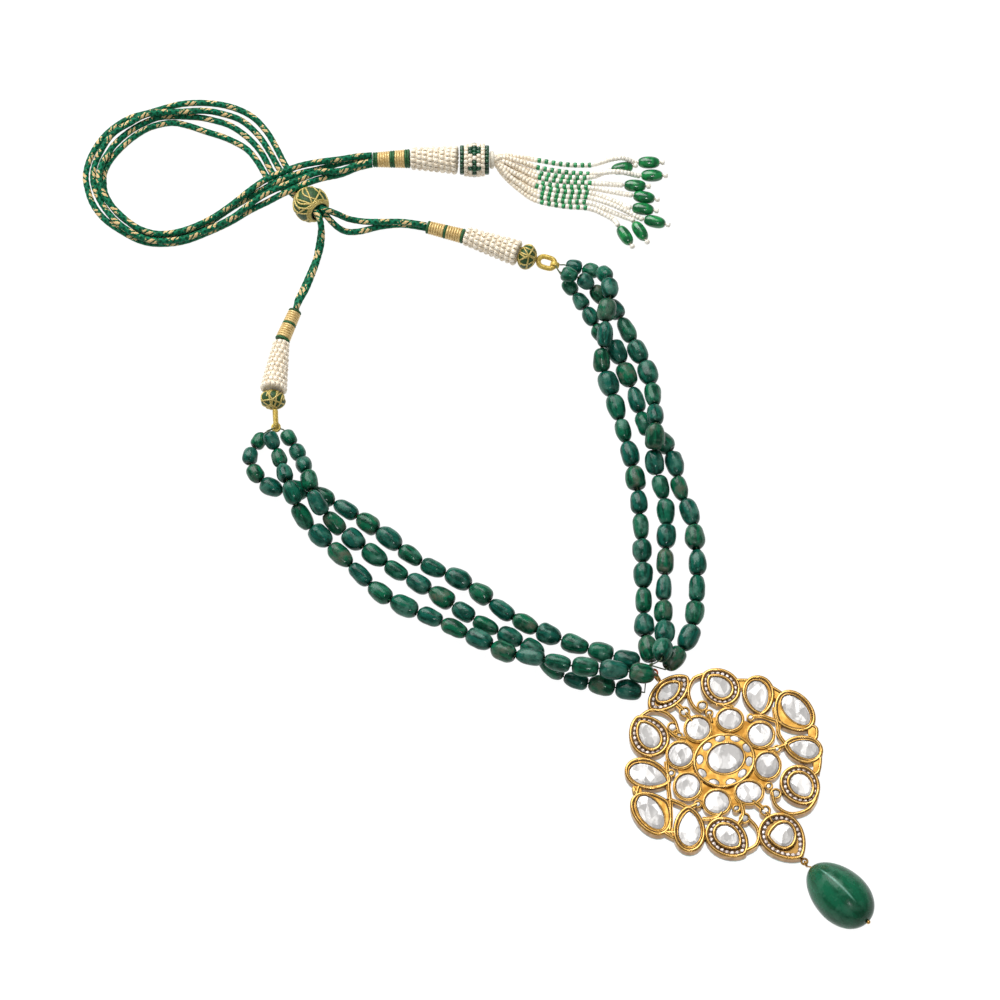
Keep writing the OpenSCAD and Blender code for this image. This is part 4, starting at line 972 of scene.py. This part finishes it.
# %% Seed rows
def seed_rows(a, b, radius_at, pitch, around, shift, wound, shade_at):
    """Places, directions and shades of seeds in rings round the line a to b.

    Wound seeds point round the line, woven ones point along it.
    """
    d = (b - a).normalized()
    u, v = square_to(d)
    rings = max(2, round((b - a).length / pitch))
    places, ways, shades = [], [], []
    for i in range(rings):
        h = (i + 0.5) / rings
        r = radius_at(h)
        count = max(6, round(2 * math.pi * r / around))
        for k in range(count):
            share = (k + shift * i % 1) / count
            turn = 2 * math.pi * share
            places.append(a + (b - a) * h + r * spoke(u, v, turn))
            ways.append(spoke(v, -u, turn) if wound else d)
            shades.append(shade_at(i, rings, share))
    return places, ways, shades

CONES = {
    # name: ends, diameters at them
    "cone_left": (LEFT_CONE, 5.6, 9.3),
    "cone_right": (RIGHT_CONE, 6.5, 9.0),
    "tassel_cone": ([Vector((-103.3, 213.0, 4.0)), Vector((-87.7, 211.8, 5.1))], 7.7, 9.9),
}
TURN_PITCH, SEED_PITCH = 1.88, 1.45
for name, ((a, b), d0, d1) in CONES.items():
    length = (b - a).length
    profile = [(d0 / 2 - 0.75, 0), (d1 / 2 - 0.75, length - 1.3), (d1 / 2 - 1.8, length - 0.7)]
    turned(name + "_core", (a, b), profile, 32, cream_silk, [name], mesh_of)
    string_seeds(name + "_seeds", *seed_rows(
        a, b, lambda h: d0 / 2 + (d1 - d0) / 2 * h - 0.9, TURN_PITCH, SEED_PITCH, 0.12, True,
        lambda i, rings, share: 0.0), 1.96, 1.5)

# %% Barrel
BARREL = [Vector((-87.0, 211.5, 5.9)), Vector((-77.2, 211.5, 5.9))]
BARREL_R, DIAMONDS = 5, 5

def diamond(i, rings, share):
    """Green where a place is near enough to a diamond's middle, and in the end rows."""
    from_line = abs((share * DIAMONDS - 0.54 + 0.5) % 1 - 0.5)
    sideways = from_line * 2 * math.pi * BARREL_R / DIAMONDS
    lengthwise = abs(i - (rings - 1) / 2) * 1.4
    return 1.0 if i in (0, rings - 1) or sideways + lengthwise < 2.3 else 0.05

turned("barrel_core", BARREL, [(2.9, 0), (3.7, 0.7), (4.9, 2.6), (4.9, 7.2), (3.7, 9.1), (2.9, 9.8)],
       32, cream_silk, ["tassel_barrel"])
string_seeds("barrel_seeds", *seed_rows(
    *BARREL, lambda h: 4.98 - 1.3 * abs(2 * h - 1) ** 3, 1.4, 1.43, 0.5, False, diamond), 1.65, 1.5)

# %% [markdown]
# ## Tassel
# Nine strings of seed beads fan out from the barrel. They are cream at first, then green
# and white in turn, then white down to a long green bead and a clear tip. The seeds are
# set by walking along each string's route.

# %% Tassel routes
SEED_D, OVAL_LEN, OVAL_D, OVAL_Z = 1.7, 7.6, 4.2, 2.2
STATION_X = [-72.6, -66.8, -61.1, -51.8, -43.4, -36.0, -32.0]
STATION_Z = [3.4, 1.9, 0.85, 0.85, 0.85, 0.85, 0.85]
STACKED = [1.5, 1.3, 0.6, 0.1, 0, 0, 0]
TASSEL = [
    # y at the seven stations, lift at the last two, then x, y and turn of the oval bead
    (214.2, 214.3, 213.6, 212.0, 211.8, 212.4, 212.8, 3.7, -23.6, 212.2, 0),
    (212.9, 212.1, 210.7, 209.2, 208.5, 207.9, 207.6, 3.5, -22.6, 207.4, 0),
    (211.8, 210.6, 208.9, 207.4, 207.3, 208.8, 209.0, 0, -32.6, 210.1, 12),
    (211.4, 209.5, 207.2, 205.7, 205.2, 204.7, 204.0, 0, -28.3, 203.7, -3),
    (210.3, 208.1, 205.5, 203.9, 203.5, 202.0, 201.2, 0, -25.3, 199.5, -10),
    (209.6, 206.6, 203.8, 202.1, 201.7, 198.9, 197.0, 0, -25.7, 195.2, -8),
    (208.9, 205.1, 202.1, 200.3, 199.9, 196.6, 194.6, 1.7, -21.8, 190.6, -14),
    (208.1, 203.7, 200.4, 198.5, 197.9, 194.6, 192.9, 0, -26.8, 187.2, -58),
    (207.4, 202.2, 198.7, 196.7, 195.9, 192.2, 190.0, 0, -31.8, 185.6, -58),
]

def tassel_route(i):
    """The route of a string down to its oval bead, then the bead's middle and direction."""
    *sideways, lift, x, y, degrees = TASSEL[i]
    turn = 2 * math.pi * i / len(TASSEL) + math.pi / 2
    stack = STACKED if i % 2 else [0] * 7
    lifts = [0] * 5 + [lift] * 2
    middle = Vector((x, y, OVAL_Z))
    d = Vector((math.cos(math.radians(degrees)), sine(degrees), 0))
    stop = middle - (OVAL_LEN / 2 + 0.25) * d
    points = [BARREL[1] + Vector((0.9, 1.6 * math.cos(turn), 1.6 * math.sin(turn)))]
    points += [Vector((STATION_X[k], sideways[k], STATION_Z[k] + stack[k] + lifts[k]))
               for k in range(7) if STATION_X[k] < stop.x - 1.5]
    return smooth(points + [stop - 0.9 * d, stop], 4, SEED_D / 2 + 0.05), middle, d

print("strings:", len(TASSEL))

# %% Tassel strings
# The x up to which the seeds are cream, and up to which green ones alternate with white
CREAM_TO, GREEN_TO = -61.4, -43.2
SEED_STEP = 1.2
places, ways, shades, cores, ovals, oval_ways, tips = [], [], [], [], [], [], []
for i in range(len(TASSEL)):
    route, middle, d = tassel_route(i)
    rail = Rail(route)
    count = int(rail.length / SEED_STEP)
    for k in range(count):
        far = (k + 0.5) * rail.length / count
        p = rail.at(far)
        places.append(p)
        ways.append((rail.at(far + 0.5) - rail.at(far - 0.5)).normalized())
        is_green = p.x < GREEN_TO and (k + i) % 2
        shades.append(0.0 if p.x < CREAM_TO else 0.75 if is_green else 0.25)
    tip = middle + (OVAL_LEN / 2 + 0.3) * d
    cores.append(route + [tip + 0.6 * d])
    tips.append(tip + 0.55 * d)
    ovals.append(middle)
    oval_ways.append(d)
string_seeds("tassel_seeds", places + tips, ways + oval_ways, shades + [0.25] * len(tips), 1.84, 1.45,
             ["tassel_strands"])
draw("tassel_threads", cores, 0.45, cream_silk, "seed_beads", closed=False, sides=6)
turned("tassel_head", [BARREL[1] + Vector((x, 0, 0)) for x in (0.12, 1.72)],
       [(2.4, 0), (3.0, 0.4), (3.0, 1.2), (2.2, 1.6)], 24, cream_silk)

# %% Oval beads
oval_glass = two_tone("oval_glass", 500, 1, 0.4, 0.65, (0.0, 0.09, 0.025), (0.004, 0.22, 0.05),
                      (700, 0.15, 0.0002), IOR=1.5, Coat_Weight=0.4, Coat_Roughness=0.06,
                      Roughness=0.2)
half = (OVAL_D / 2 * MM, OVAL_D / 2 * MM, OVAL_LEN / 2 * MM)
grow("oval_beads", mesh_of("oval_beads", ovals, direction=oval_ways, size=[half] * len(ovals)),
     beads, oval_glass, "green_bead", ["tassel_ovals"], Fullness=0.85, Unevenness=0.0, Rings=16)

# %% [markdown]
# ## Silk threads
# A dark silk thread runs through every string of beads. At one end it is looped to the gold
# loop and covered there with gold thread, at the other it is tied to the bail with orange
# silk.

# %% Threads through the beads
BAIL_AT, BAIL_DIR = Vector((-22.3, 28.5, 2.9)), Vector((-0.597, 0.802, 0))
KNOT_AT, KNOT_R, THREAD_R = BAIL_AT + 3.66 * BAIL_DIR, 1.25, 0.25
TIE_AT, TIE_R = BAIL_AT + 1.83 * BAIL_DIR, 1.3
LOOP_RING_R = 1.3

def loop_end(ends):
    return ends[1] - LOOP_WIRE / 2 * (ends[1] - ends[0]).normalized()

def thread_route(row, start):
    """From a gold loop's rings through the beads of a string to the knot at the bail."""
    entry = row[0][0] - (row[0][2] / 2 + 0.6) * row[0][1]
    leave = row[-1][0] + (row[-1][2] / 2 + 0.8) * row[-1][1]
    inside = [middle + e * length / 2 * way for middle, way, length, *_ in row for e in (-1, 1)]
    way = ((leave - KNOT_AT).normalized() + 0.9 * BAIL_DIR + Vector((0, 0, 0.6))).normalized()
    return ([start + (LOOP_RING_R + THREAD_R + 0.12) * (entry - start).normalized(), entry] + inside
            + [leave, KNOT_AT + (KNOT_R + THREAD_R + 0.12) * way])

def three_rings(middle, axis, radius, apart):
    return [ring_path(middle + e * axis, axis, radius) for e in (-apart, 0, apart)]

left, right = loop_end(LEFT_LOOP), loop_end(RIGHT_LOOP)
threads = [thread_route(row, left if "left" in name else right) for name, row in rows.items()]
draw("silk_threads", threads, THREAD_R, bead_silk, "silk", ["threads"], closed=False)
gold_rings = (three_rings(left, UP, LOOP_RING_R, 0.45)
              + three_rings(right, across(RIGHT_LOOP[1] - RIGHT_LOOP[0]), LOOP_RING_R, 0.45))
draw("loop_knots", gold_rings, 0.3, loop_thread, "silk")
draw("bail_knot", three_rings(KNOT_AT, across(BAIL_DIR), KNOT_R, 0.4), 0.28, bead_silk, "silk")
draw("orange_tie", three_rings(TIE_AT, UP, TIE_R, 0.35), 0.28, orange_silk, "orange_silk", ["tie_thread"])

# %% [markdown]
# ## Gold of the pendant
# Soft yellow gold pressed round the stones. The finish looks at the height above the table:
# it is painted brighter where it stands high, as a painted highlight, and brown lower down,
# as painted shade, and the floors of the channels, which are low and face up, are painted
# darkest, as shade. A faint hammered grain breaks the shine.

# %% Gold
gold = Finish("yellow_gold")
patina = gold.patches(Scale=420, Detail=3, Low=0.38, High=0.66)
# Lower gold is painted browner as shade; the high rims are painted brighter as a highlight
low_gold_shade = gold.mix(patina, (0.24, 0.11, 0.018), (0.38, 0.2, 0.042))
flat_gold = gold.mix(patina, (0.34, 0.175, 0.035), (0.48, 0.27, 0.065))
painted_highlight = gold.mix(patina, (0.48, 0.27, 0.07), (0.6, 0.37, 0.125))
level, crown = gold.above(0.0037, 0.00425), gold.above(0.00445, 0.00468)
body = gold.mix(crown, gold.mix(level, low_gold_shade, flat_gold), painted_highlight)
facing_up = gold.split(step(gold.tree, "ShaderNodeTexCoord").outputs["Normal"])["Z"]
# Low channel floors that face up are painted darkest brown, as shade
under = gold.math("SUBTRACT", 1.0, gold.above(0.00354, 0.0036))
floor_shade = gold.math("MULTIPLY", under, gold.ramp(facing_up, 0.8, 0.95))
yellow_gold = gold.feed(
    Base_Color=gold.mix(floor_shade, body, (0.3, 0.16, 0.035)), Normal=gold.skin(600, 0.12, 0.00015),
    Metallic=gold.ramp(floor_shade, 0, 1, 1.0, 0.7), Roughness=gold.ramp(patina, 0, 1, 0.3, 0.22))
for name in ("pendant_frame", "drop_pin"):
    paint(nodes[name], yellow_gold)
# Dark lines in the grooves between stones, collars and rims: painted shade
brown_groove = two_tone("brown_groove", 900, 2, 0.35, 0.65, (0.08, 0.035, 0.008), (0.2, 0.1, 0.025),
                        Roughness=0.6)
# Brown under the tiny stones in the channels: painted shade
channel_lining = two_tone("channel_lining", 700, 2, 0.35, 0.65, (0.14, 0.075, 0.035),
                          (0.27, 0.16, 0.08), Roughness=0.5)
print("finishes:", yellow_gold.name, brown_groove.name, channel_lining.name)

# %% [markdown]
# ## Green enamel
# The back of the pendant is enamelled: glass melted onto gold, deep green, with a thin
# wavy surface that shows along the edges.

# %% Enamel
green_enamel = two_tone("green_enamel", 380, 2, 0.42, 0.62, (0.0, 0.05, 0.022), (0.003, 0.17, 0.075),
                        (400, 0.2, 0.0003), Coat_Weight=1.0, Coat_Roughness=0.06, Roughness=0.25)
paint(nodes["pendant_enamel"], green_enamel)
print("finish:", green_enamel.name)

# %% [markdown]
# ## Flat-cut diamonds
# These are thin slices of diamond laid over foil. They look milky grey-white, made of a few
# sheets that lean each their own way, with soft dark clouds and a low glint, not like a
# modern sparkling cut.

# %% Diamonds
def stone_finish(name, light, grey, scale):
    """Sheets between a light and a grey tone, under clouds of grey."""
    stone = Finish(name, IOR=1.7, Specular_IOR_Level=0.5)
    folds = stone.stretch(stone.where, (1.0, 0.62, 1.0))
    sheets = step(stone.tree, "ShaderNodeTexVoronoi", {"Vector": folds}, feature="F1",
                  Scale=scale * 2.5).outputs
    tone = step(stone.tree, "ShaderNodeSeparateColor", {"Color": sheets["Color"]}).outputs[0]
    cloud = stone.patches(folds, Scale=scale * 1.5, Detail=3, Low=0.4, High=0.5)
    silver = stone.mix(stone.ramp(tone, 0.35, 0.95), light, grey)
    # The stones are cut flat, so the light falls on them as on a sheet that is hardly domed
    normal = step(stone.tree, "ShaderNodeNewGeometry").outputs["Normal"]
    dome = stone.stretch(normal, (0.4, 0.4, 0.4), (-0.2, -0.2, 0.6))
    # Each sheet leans its own way
    lean = stone.stretch(sheets["Color"], (0.4, 0.4, 0), dome)
    planes = stone.math("ADD", sheets["Distance"], stone.math("MULTIPLY", cloud, 0.15))
    return stone.feed(Base_Color=stone.mix(cloud, grey, silver),
                      Roughness=stone.ramp(cloud, 0, 1, 0.1, 0.25),
                      Normal=stone.bump(planes, 0.4, 0.0009, Normal=lean))

flat_diamond = stone_finish("flat_diamond", (0.88, 0.85, 0.82), (0.54, 0.52, 0.5), 170)
tiny_diamond = stone_finish("tiny_diamond", (0.9, 0.8, 0.75), (0.6, 0.48, 0.42), 600)
for name, solid in nodes.items():
    if name.startswith("stone"):
        paint(solid, flat_diamond)
print("finishes:", flat_diamond.name, tiny_diamond.name)

# %% [markdown]
# ## Rims, wires and rows of tiny stones
# Every petal ends in a rounded rim, every stone sits in a rounded collar, and fine dark
# lines of painted shade part them. Six petals carry a row of tiny stones in a channel, over
# brown tubes of painted shade. All of them follow the outlines of the settings, worked out
# here by the same rule that cut them.

# %% Outlines of the settings
# x, y, turn, half length and half width of each setting, then how sharp its first end and
# its other end are, where they aren't round
PETALS = [
    (-18.5, 22.6, 42, 8.6, 5, 0.3, 0.3), (-1.8, 24.8, 133, 7.2, 6.2, 0.15),
    (10.8, 21.8, -82, 7, 5.3, 0.3), (22, 16, 217, 6.4, 7.9, 0.4), (25, 3.4, 165, 6.6, 4.8, 0.35),
    (24, -9.2, -57, 7.3, 6.4, 0.2), (18.3, -27, -50, 9, 7.2, 0.45),
    (0.2, -27.2, -43, 8, 6.3, 0.3), (-12.3, -24.1, 92, 7.9, 5.3, 0.3),
    (-24, -18.3, 37, 6.3, 8.3, 0.4), (-25.4, -5.4, -19, 7.9, 5.3, 0.35),
    (-25.3, 8, 119, 7.7, 6.5, 0.3),
]
OUTER_STONES = [
    (-18.7, 23, 42, 4.2, 2.3, 0.3, 0.3), (-1.9, 24.9, 133, 4.2, 3.1, 0.35),
    (10.5, 21.5, -80, 5.5, 3.5, 0.35), (22.9, 16.7, 129, 6.2, 3.4, 0, 0.1),
    (25.3, 3.4, 165, 5, 3.1, 0.5), (24.2, -9.1, -57, 4.3, 3.3, 0.2),
    (17.7, -26.1, -176, 3.9, 4, 0.5), (0.2, -26.6, -43, 4.4, 3.1, 0.3),
    (-12.2, -23.9, 90, 5.9, 3.6, 0.45), (-24.7, -18.4, 122, 6.5, 3.5, 0, 0.1),
    (-25.5, -5.7, -19, 6.3, 3.6, 0.4), (-25.2, 8.1, 119, 4.7, 3.1, 0.3),
]
MID_STONES = [
    (-9.1, 10.3, 132, 3.8, 3.8), (1.3, 13.5, 0, 3.8, 3.4), (11.2, 8.2, 0, 3.9, 3.9),
    (13.3, -2.3, 90, 4.2, 3.7), (7.2, -11.5, 0, 4.1, 3.6), (-3.2, -14.9, 0, 3.9, 3.8),
    (-12.6, -9.4, 90, 4.1, 3.9), (-14.9, 1.3, 0, 3.9, 4),
]
CENTRE_STONE = (-0.2, 0.1, 15, 5.8, 5.0)
HALO = (-0.7, -0.6, 20, 10.4, 9.4)
# Round accents: x, y, radius of the setting
ACCENTS = [
    (-5.4, 15.6, 1.4), (8.1, 14.2, 1.4), (16.5, 3.4, 1.4), (13.7, -9.4, 1.4), (3.1, -17, 1.4),
    (-9.4, -15.6, 1.4), (-17.9, -5, 1.4), (-15.3, 7.8, 1.4), (-7.6, 18.2, 1.9),
    (-13.4, 16.1, 1.9), (-17.4, 10.8, 1.9), (15.9, -12, 1.9), (12.4, -17.8, 1.9),
    (5.7, -20.4, 1.9),
]
# Middle lines of the gold wires that join the settings
WIRES = [
    ((-5.4, 15.6), (-4.6, 12.6)),
    ((-6.6, 29.2), (-10.2, 27.8), (-12, 24.2), (-11.8, 20.8), (-10.4, 17.9), (-7.9, 15.7)),
    ((-27.6, 14.6), (-24.8, 16.6), (-21.6, 16.6), (-18.9, 15.4), (-16.6, 12.9), (-15.5, 9)),
    ((14.9, -11.5), (15.4, -15.1), (17.5, -17.5), (20.2, -18.8), (23.4, -18.6), (26.8, -17), (29, -13.6)),
    ((7, -20.6), (9.4, -23.3), (10.2, -26.5), (9.2, -29.6), (6, -31.4)),
    ((15.8, 17.7), (16.2, 14.2), (16.9, 11.6), (17.2, 8.2), (19.4, 4.8)),
    ((8.6, 14.5), (11.5, 14.7), (14.4, 13.7), (18.2, 12.3)), ((19.8, 5), (16.5, 3.6), (13.5, 3)),
    ((-19.6, -1), (-19, -7.3), (-18.8, -10.7), (-18.4, -14.5), (-18.2, -21.4), (-18.6, -24.4)),
    ((-19.4, -13.6), (-15.2, -15.4), (-12.4, -16.7), (-9.3, -15.4)),
    ((7.6, -13.6), (12.3, -17.8), (14.6, -21.6)), ((-10.4, 11.8), (-13.4, 16.2), (-16.6, 19.4)),
    ((4.4, -14.6), (5.4, -19.2), (3.6, -22.4)), ((-18.6, 9.8), (-16.4, 7.8), (-13.2, 6.8)),
    ((-3.2, 18.8), (-0.6, 18.6), (2.4, 17.6)), ((-1.6, -18.4), (-3.6, -20.4), (-8, -20.6)),
]
# Plain bars between two petals: the petals, then the two ends of the bar's outer edge
BARS = [
    (1, 2, (3.9, 27.1), (6.8, 27.1)), (2, 3, (15.4, 24.5), (18.1, 22.7)),
    (3, 4, (29.5, 10.4), (29.4, 7.3)), (4, 5, (30.6, 0.0), (30.0, -4.3)),
    (8, 9, (-20.2, -25.4), (-16.9, -27.3)), (9, 10, (-30.3, -9.8), (-29.7, -12.9)),
]
# Petals that carry a channel of tiny stones
CHANNELLED = [0, 1, 5, 6, 7, 11]

def outline(setting, grow_by, sides, z=0.0):
    """The outline of a petal or stone, grown outwards and laid at a height."""
    at_x, at_y, degrees, long, wide, *ends = setting
    one, other = (*ends, 0, 0)[:2]
    first = (1 + one) / (2 + one + other)
    peak = 2 * first ** ((1 + one) / 2) * (1 - first) ** ((1 + other) / 2)
    cos, sin = math.cos(math.radians(degrees)), sine(degrees)
    out = []
    for turn in circle(sides):
        x = (long + grow_by) * math.cos(turn)
        pinch = abs(math.sin(turn / 2)) ** one * abs(math.cos(turn / 2)) ** other
        y = (wide + grow_by) * math.sin(turn) * pinch / peak
        out.append(Vector((at_x + x * cos - y * sin, at_y + x * sin + y * cos, z)))
    return out

print("settings:", len(PETALS) + len(OUTER_STONES) + len(MID_STONES) + len(ACCENTS))

# %% Rims, collars and wires
RIM_Z, WIRE_Z = 4.4, 4.28
LARGE, SMALL = 56, 40
OUTLINED = {
    # name: settings, how far outside them it runs, corners, how far its middle lies below
    # RIM_Z, its radius
    "petal_rims": (PETALS + [HALO], -0.58, LARGE, 0.16, 0.6),
    "stone_collars": (MID_STONES + [CENTRE_STONE], 0.45, SMALL, 0.08, 0.38),
    "broad_collars": ([OUTER_STONES[i] for i in CHANNELLED], 0.55, SMALL, 0.14, 0.56),
    "narrow_collars": ([r for i, r in enumerate(OUTER_STONES) if i not in CHANNELLED],
                       0.3, SMALL, 0.06, 0.26),
}
lines = {name: [outline(r, outside, corners, RIM_Z - below) for r in settings]
         for name, (settings, outside, corners, below, radius) in OUTLINED.items()}
for name, paths in lines.items():
    draw(name, paths, OUTLINED[name][-1], yellow_gold, "gold")
accents = [ring_path(Vector((x, y, RIM_Z - 0.06)), UP, r - 0.32, 18) for x, y, r in ACCENTS]
draw("accent_collars", accents, 0.3, yellow_gold, "gold")
wires = [smooth(laid(wire, WIRE_Z), 3) for wire in WIRES]
for i, j, *edge in BARS:
    ends = [Vector(p) for p in laid(edge, WIRE_Z)]
    joins = [min(lines["petal_rims"][k], key=lambda p: (p - end).length)
             for k, end in zip((i, j), ends)]
    wires.append(smooth([joins[0], *ends, joins[1]], 3))
draw("joining_wires", wires, 0.55, yellow_gold, "gold", closed=False)
# Fine dark lines inside the rims and round every stone: painted shade
shade_lines = [outline(r, -1.22, LARGE, RIM_Z) for r in PETALS]
shade_lines += [outline(r, 0.05, SMALL, RIM_Z) for r in OUTER_STONES + MID_STONES + [CENTRE_STONE]]
draw("shade_lines", shade_lines, 0.13, brown_groove, "gold")

# %% Tiny stones
CHIP_PITCH, SHADE_TUBE_R = 1.7, 0.85
chip_places, shade_tubes = [], []
for i in CHANNELLED:
    inner = outline(OUTER_STONES[i], 0.8, 90)
    row = []
    for p in outline(PETALS[i], -0.85, 90):
        q = min(inner, key=lambda c: (c - p).length)
        row.append(p + (q - p).normalized() * min((q - p).length / 2, 0.9) + Vector((0, 0, RIM_Z - 0.5)))
    chip_places += Rail(row + [row[0]]).every(CHIP_PITCH)[:-1]
    shade_tubes.append([p - Vector((0, 0, SHADE_TUBE_R)) for p in row])
# Brown tubes under the tiny stones fill each channel with painted shade
draw("channel_linings", shade_tubes, SHADE_TUBE_R, channel_lining, "gold", sides=10)
grow("tiny_stones", mesh_of("tiny_stones", chip_places, direction=[UP] * len(chip_places)), chips,
     tiny_diamond, "diamond", Width=1.5 * MM, Length=0.9 * MM)

# %% [markdown]
# ## Emerald drop
# A large smooth emerald, egg-shaped and drilled along its length for the gold pin. One
# ridge runs along its upper side, where the cutter left two broad planes. A pale line is
# painted along its crest as a highlight.

# %% Drop
DROP_LEN, DROP_WID, DROP_FAT, DROP_BORE = 26.5, 17.5, 0.12, 0.9
DROP_DIR = Vector((0.659, -0.732, 0.174)).normalized()
DROP_SIDES, DROP_RINGS, DROP_TILT = 72, 44, math.radians(10)
# The ridge in degrees round the drop, and how much it stands out
RIDGE_TURN, RIDGE_WIDTH, RIDGE_RISE = 270, 30, 0.06

def drop_x(turn):
    return -DROP_LEN / 2 * math.cos(turn)

def drop_r(turn):
    return DROP_WID / 2 * math.sin(turn) * (1 - DROP_FAT * math.cos(turn)) / (1 + DROP_FAT ** 2)

below = max(drop_r(turn) * math.cos(DROP_TILT) - drop_x(turn) * math.sin(DROP_TILT)
            for turn in map(math.radians, range(0, 181, 5)))
drop_at = Vector((35.7, -47.7, below + 0.1))
turns = [math.radians(5 + 170 * k / DROP_RINGS) for k in range(DROP_RINGS + 1)]
profile = [(DROP_BORE / 2, drop_x(turns[0]) + 0.4), *((drop_r(turn), drop_x(turn)) for turn in turns),
           (DROP_BORE / 2, drop_x(turns[-1]) - 0.4)]
points, faces = lathe(drop_at, drop_at + DROP_DIR, profile, DROP_SIDES, closed=True)
local = []
for k, p in enumerate(points):
    long_part = (p - drop_at).dot(DROP_DIR)
    outward = p - drop_at - long_part * DROP_DIR
    turn = 360 * (k % DROP_SIDES) / DROP_SIDES
    near_line = max(0, 1 - abs(turn - RIDGE_TURN) / RIDGE_WIDTH)
    ridge = near_line * max(0, 1 - (long_part / DROP_LEN * 2.3) ** 2)
    points[k] = p + outward * RIDGE_RISE * ridge
    local.append((math.cos(math.radians(turn)), sine(turn), 2 * long_part / DROP_LEN))
drop_stone = emerald_finish("emerald_drop", (0.001, 0.045, 0.018), (0.004, 0.088, 0.042),
                            (0.005, 0.11, 0.05), (0.03, 0.14, 0.08),
                            smooth_part=0.24, dull_part=0.38, crest_highlight=True)
drop_mesh = soft_mesh("emerald_drop", points, faces, local=local, tone=[0.7] * len(points))
place(bpy.data.objects.new("emerald_drop", drop_mesh), drop_stone, ["drop_bead"])
print("drop:", len(faces), "faces")

# %% [markdown]
# ## Floor and light
# The photograph shows no shadow at all: the necklace lies on a light table, a white floor
# that glows. One large soft light stands behind it on the left and lays a pale sheen on
# the upper side of each bead. A weaker one overhead brightens the gold and the flat
# stones, a small lamp in front gives each bead its glint, and the room is dim, so that
# the stones keep their depth.

# %% Floor
bpy.ops.mesh.primitive_plane_add(size=6)
floor = bpy.context.object
floor.name = "floor"
floor.data.materials.append(two_tone(
    "white_paper", 60, 5, 0.3, 0.7, (0.09, 0.09, 0.09), (0.11, 0.11, 0.11), Roughness=0.9,
    Specular_IOR_Level=0.1, Emission_Color=(1, 1, 1, 1), Emission_Strength=0.97))
floor.location.z = -0.0002
print("floor:", floor.name)

# %% Lights
world = bpy.data.worlds.new("studio")
world.use_nodes = True
room = world.node_tree.nodes["Background"].inputs
room["Color"].default_value = (0.95, 0.97, 1.0, 1)
room["Strength"].default_value = 0.27
scene.world = world
LIGHTS = {
    # name: where it hangs, its size, its power
    "softbox": ((-1.04, 1.76, 1.74), 2.2, 90),
    "top": ((-0.05, 0.9, 2.1), 1.0, 9.5),
    "front": ((0.1, -1.2, 2.1), 0.32, 9),
}
for name, (spot, size, power) in LIGHTS.items():
    lamp = bpy.data.objects.new(name + "_light", bpy.data.lights.new(name + "_light", "AREA"))
    scene.collection.objects.link(lamp)
    lamp.location = spot
    lamp.data.size = size
    lamp.data.energy = power
    lamp.rotation_euler = (AIM - Vector(spot)).to_track_quat("-Z", "Y").to_euler()
scene.view_settings.view_transform = "Standard"
print("lights:", len(LIGHTS))
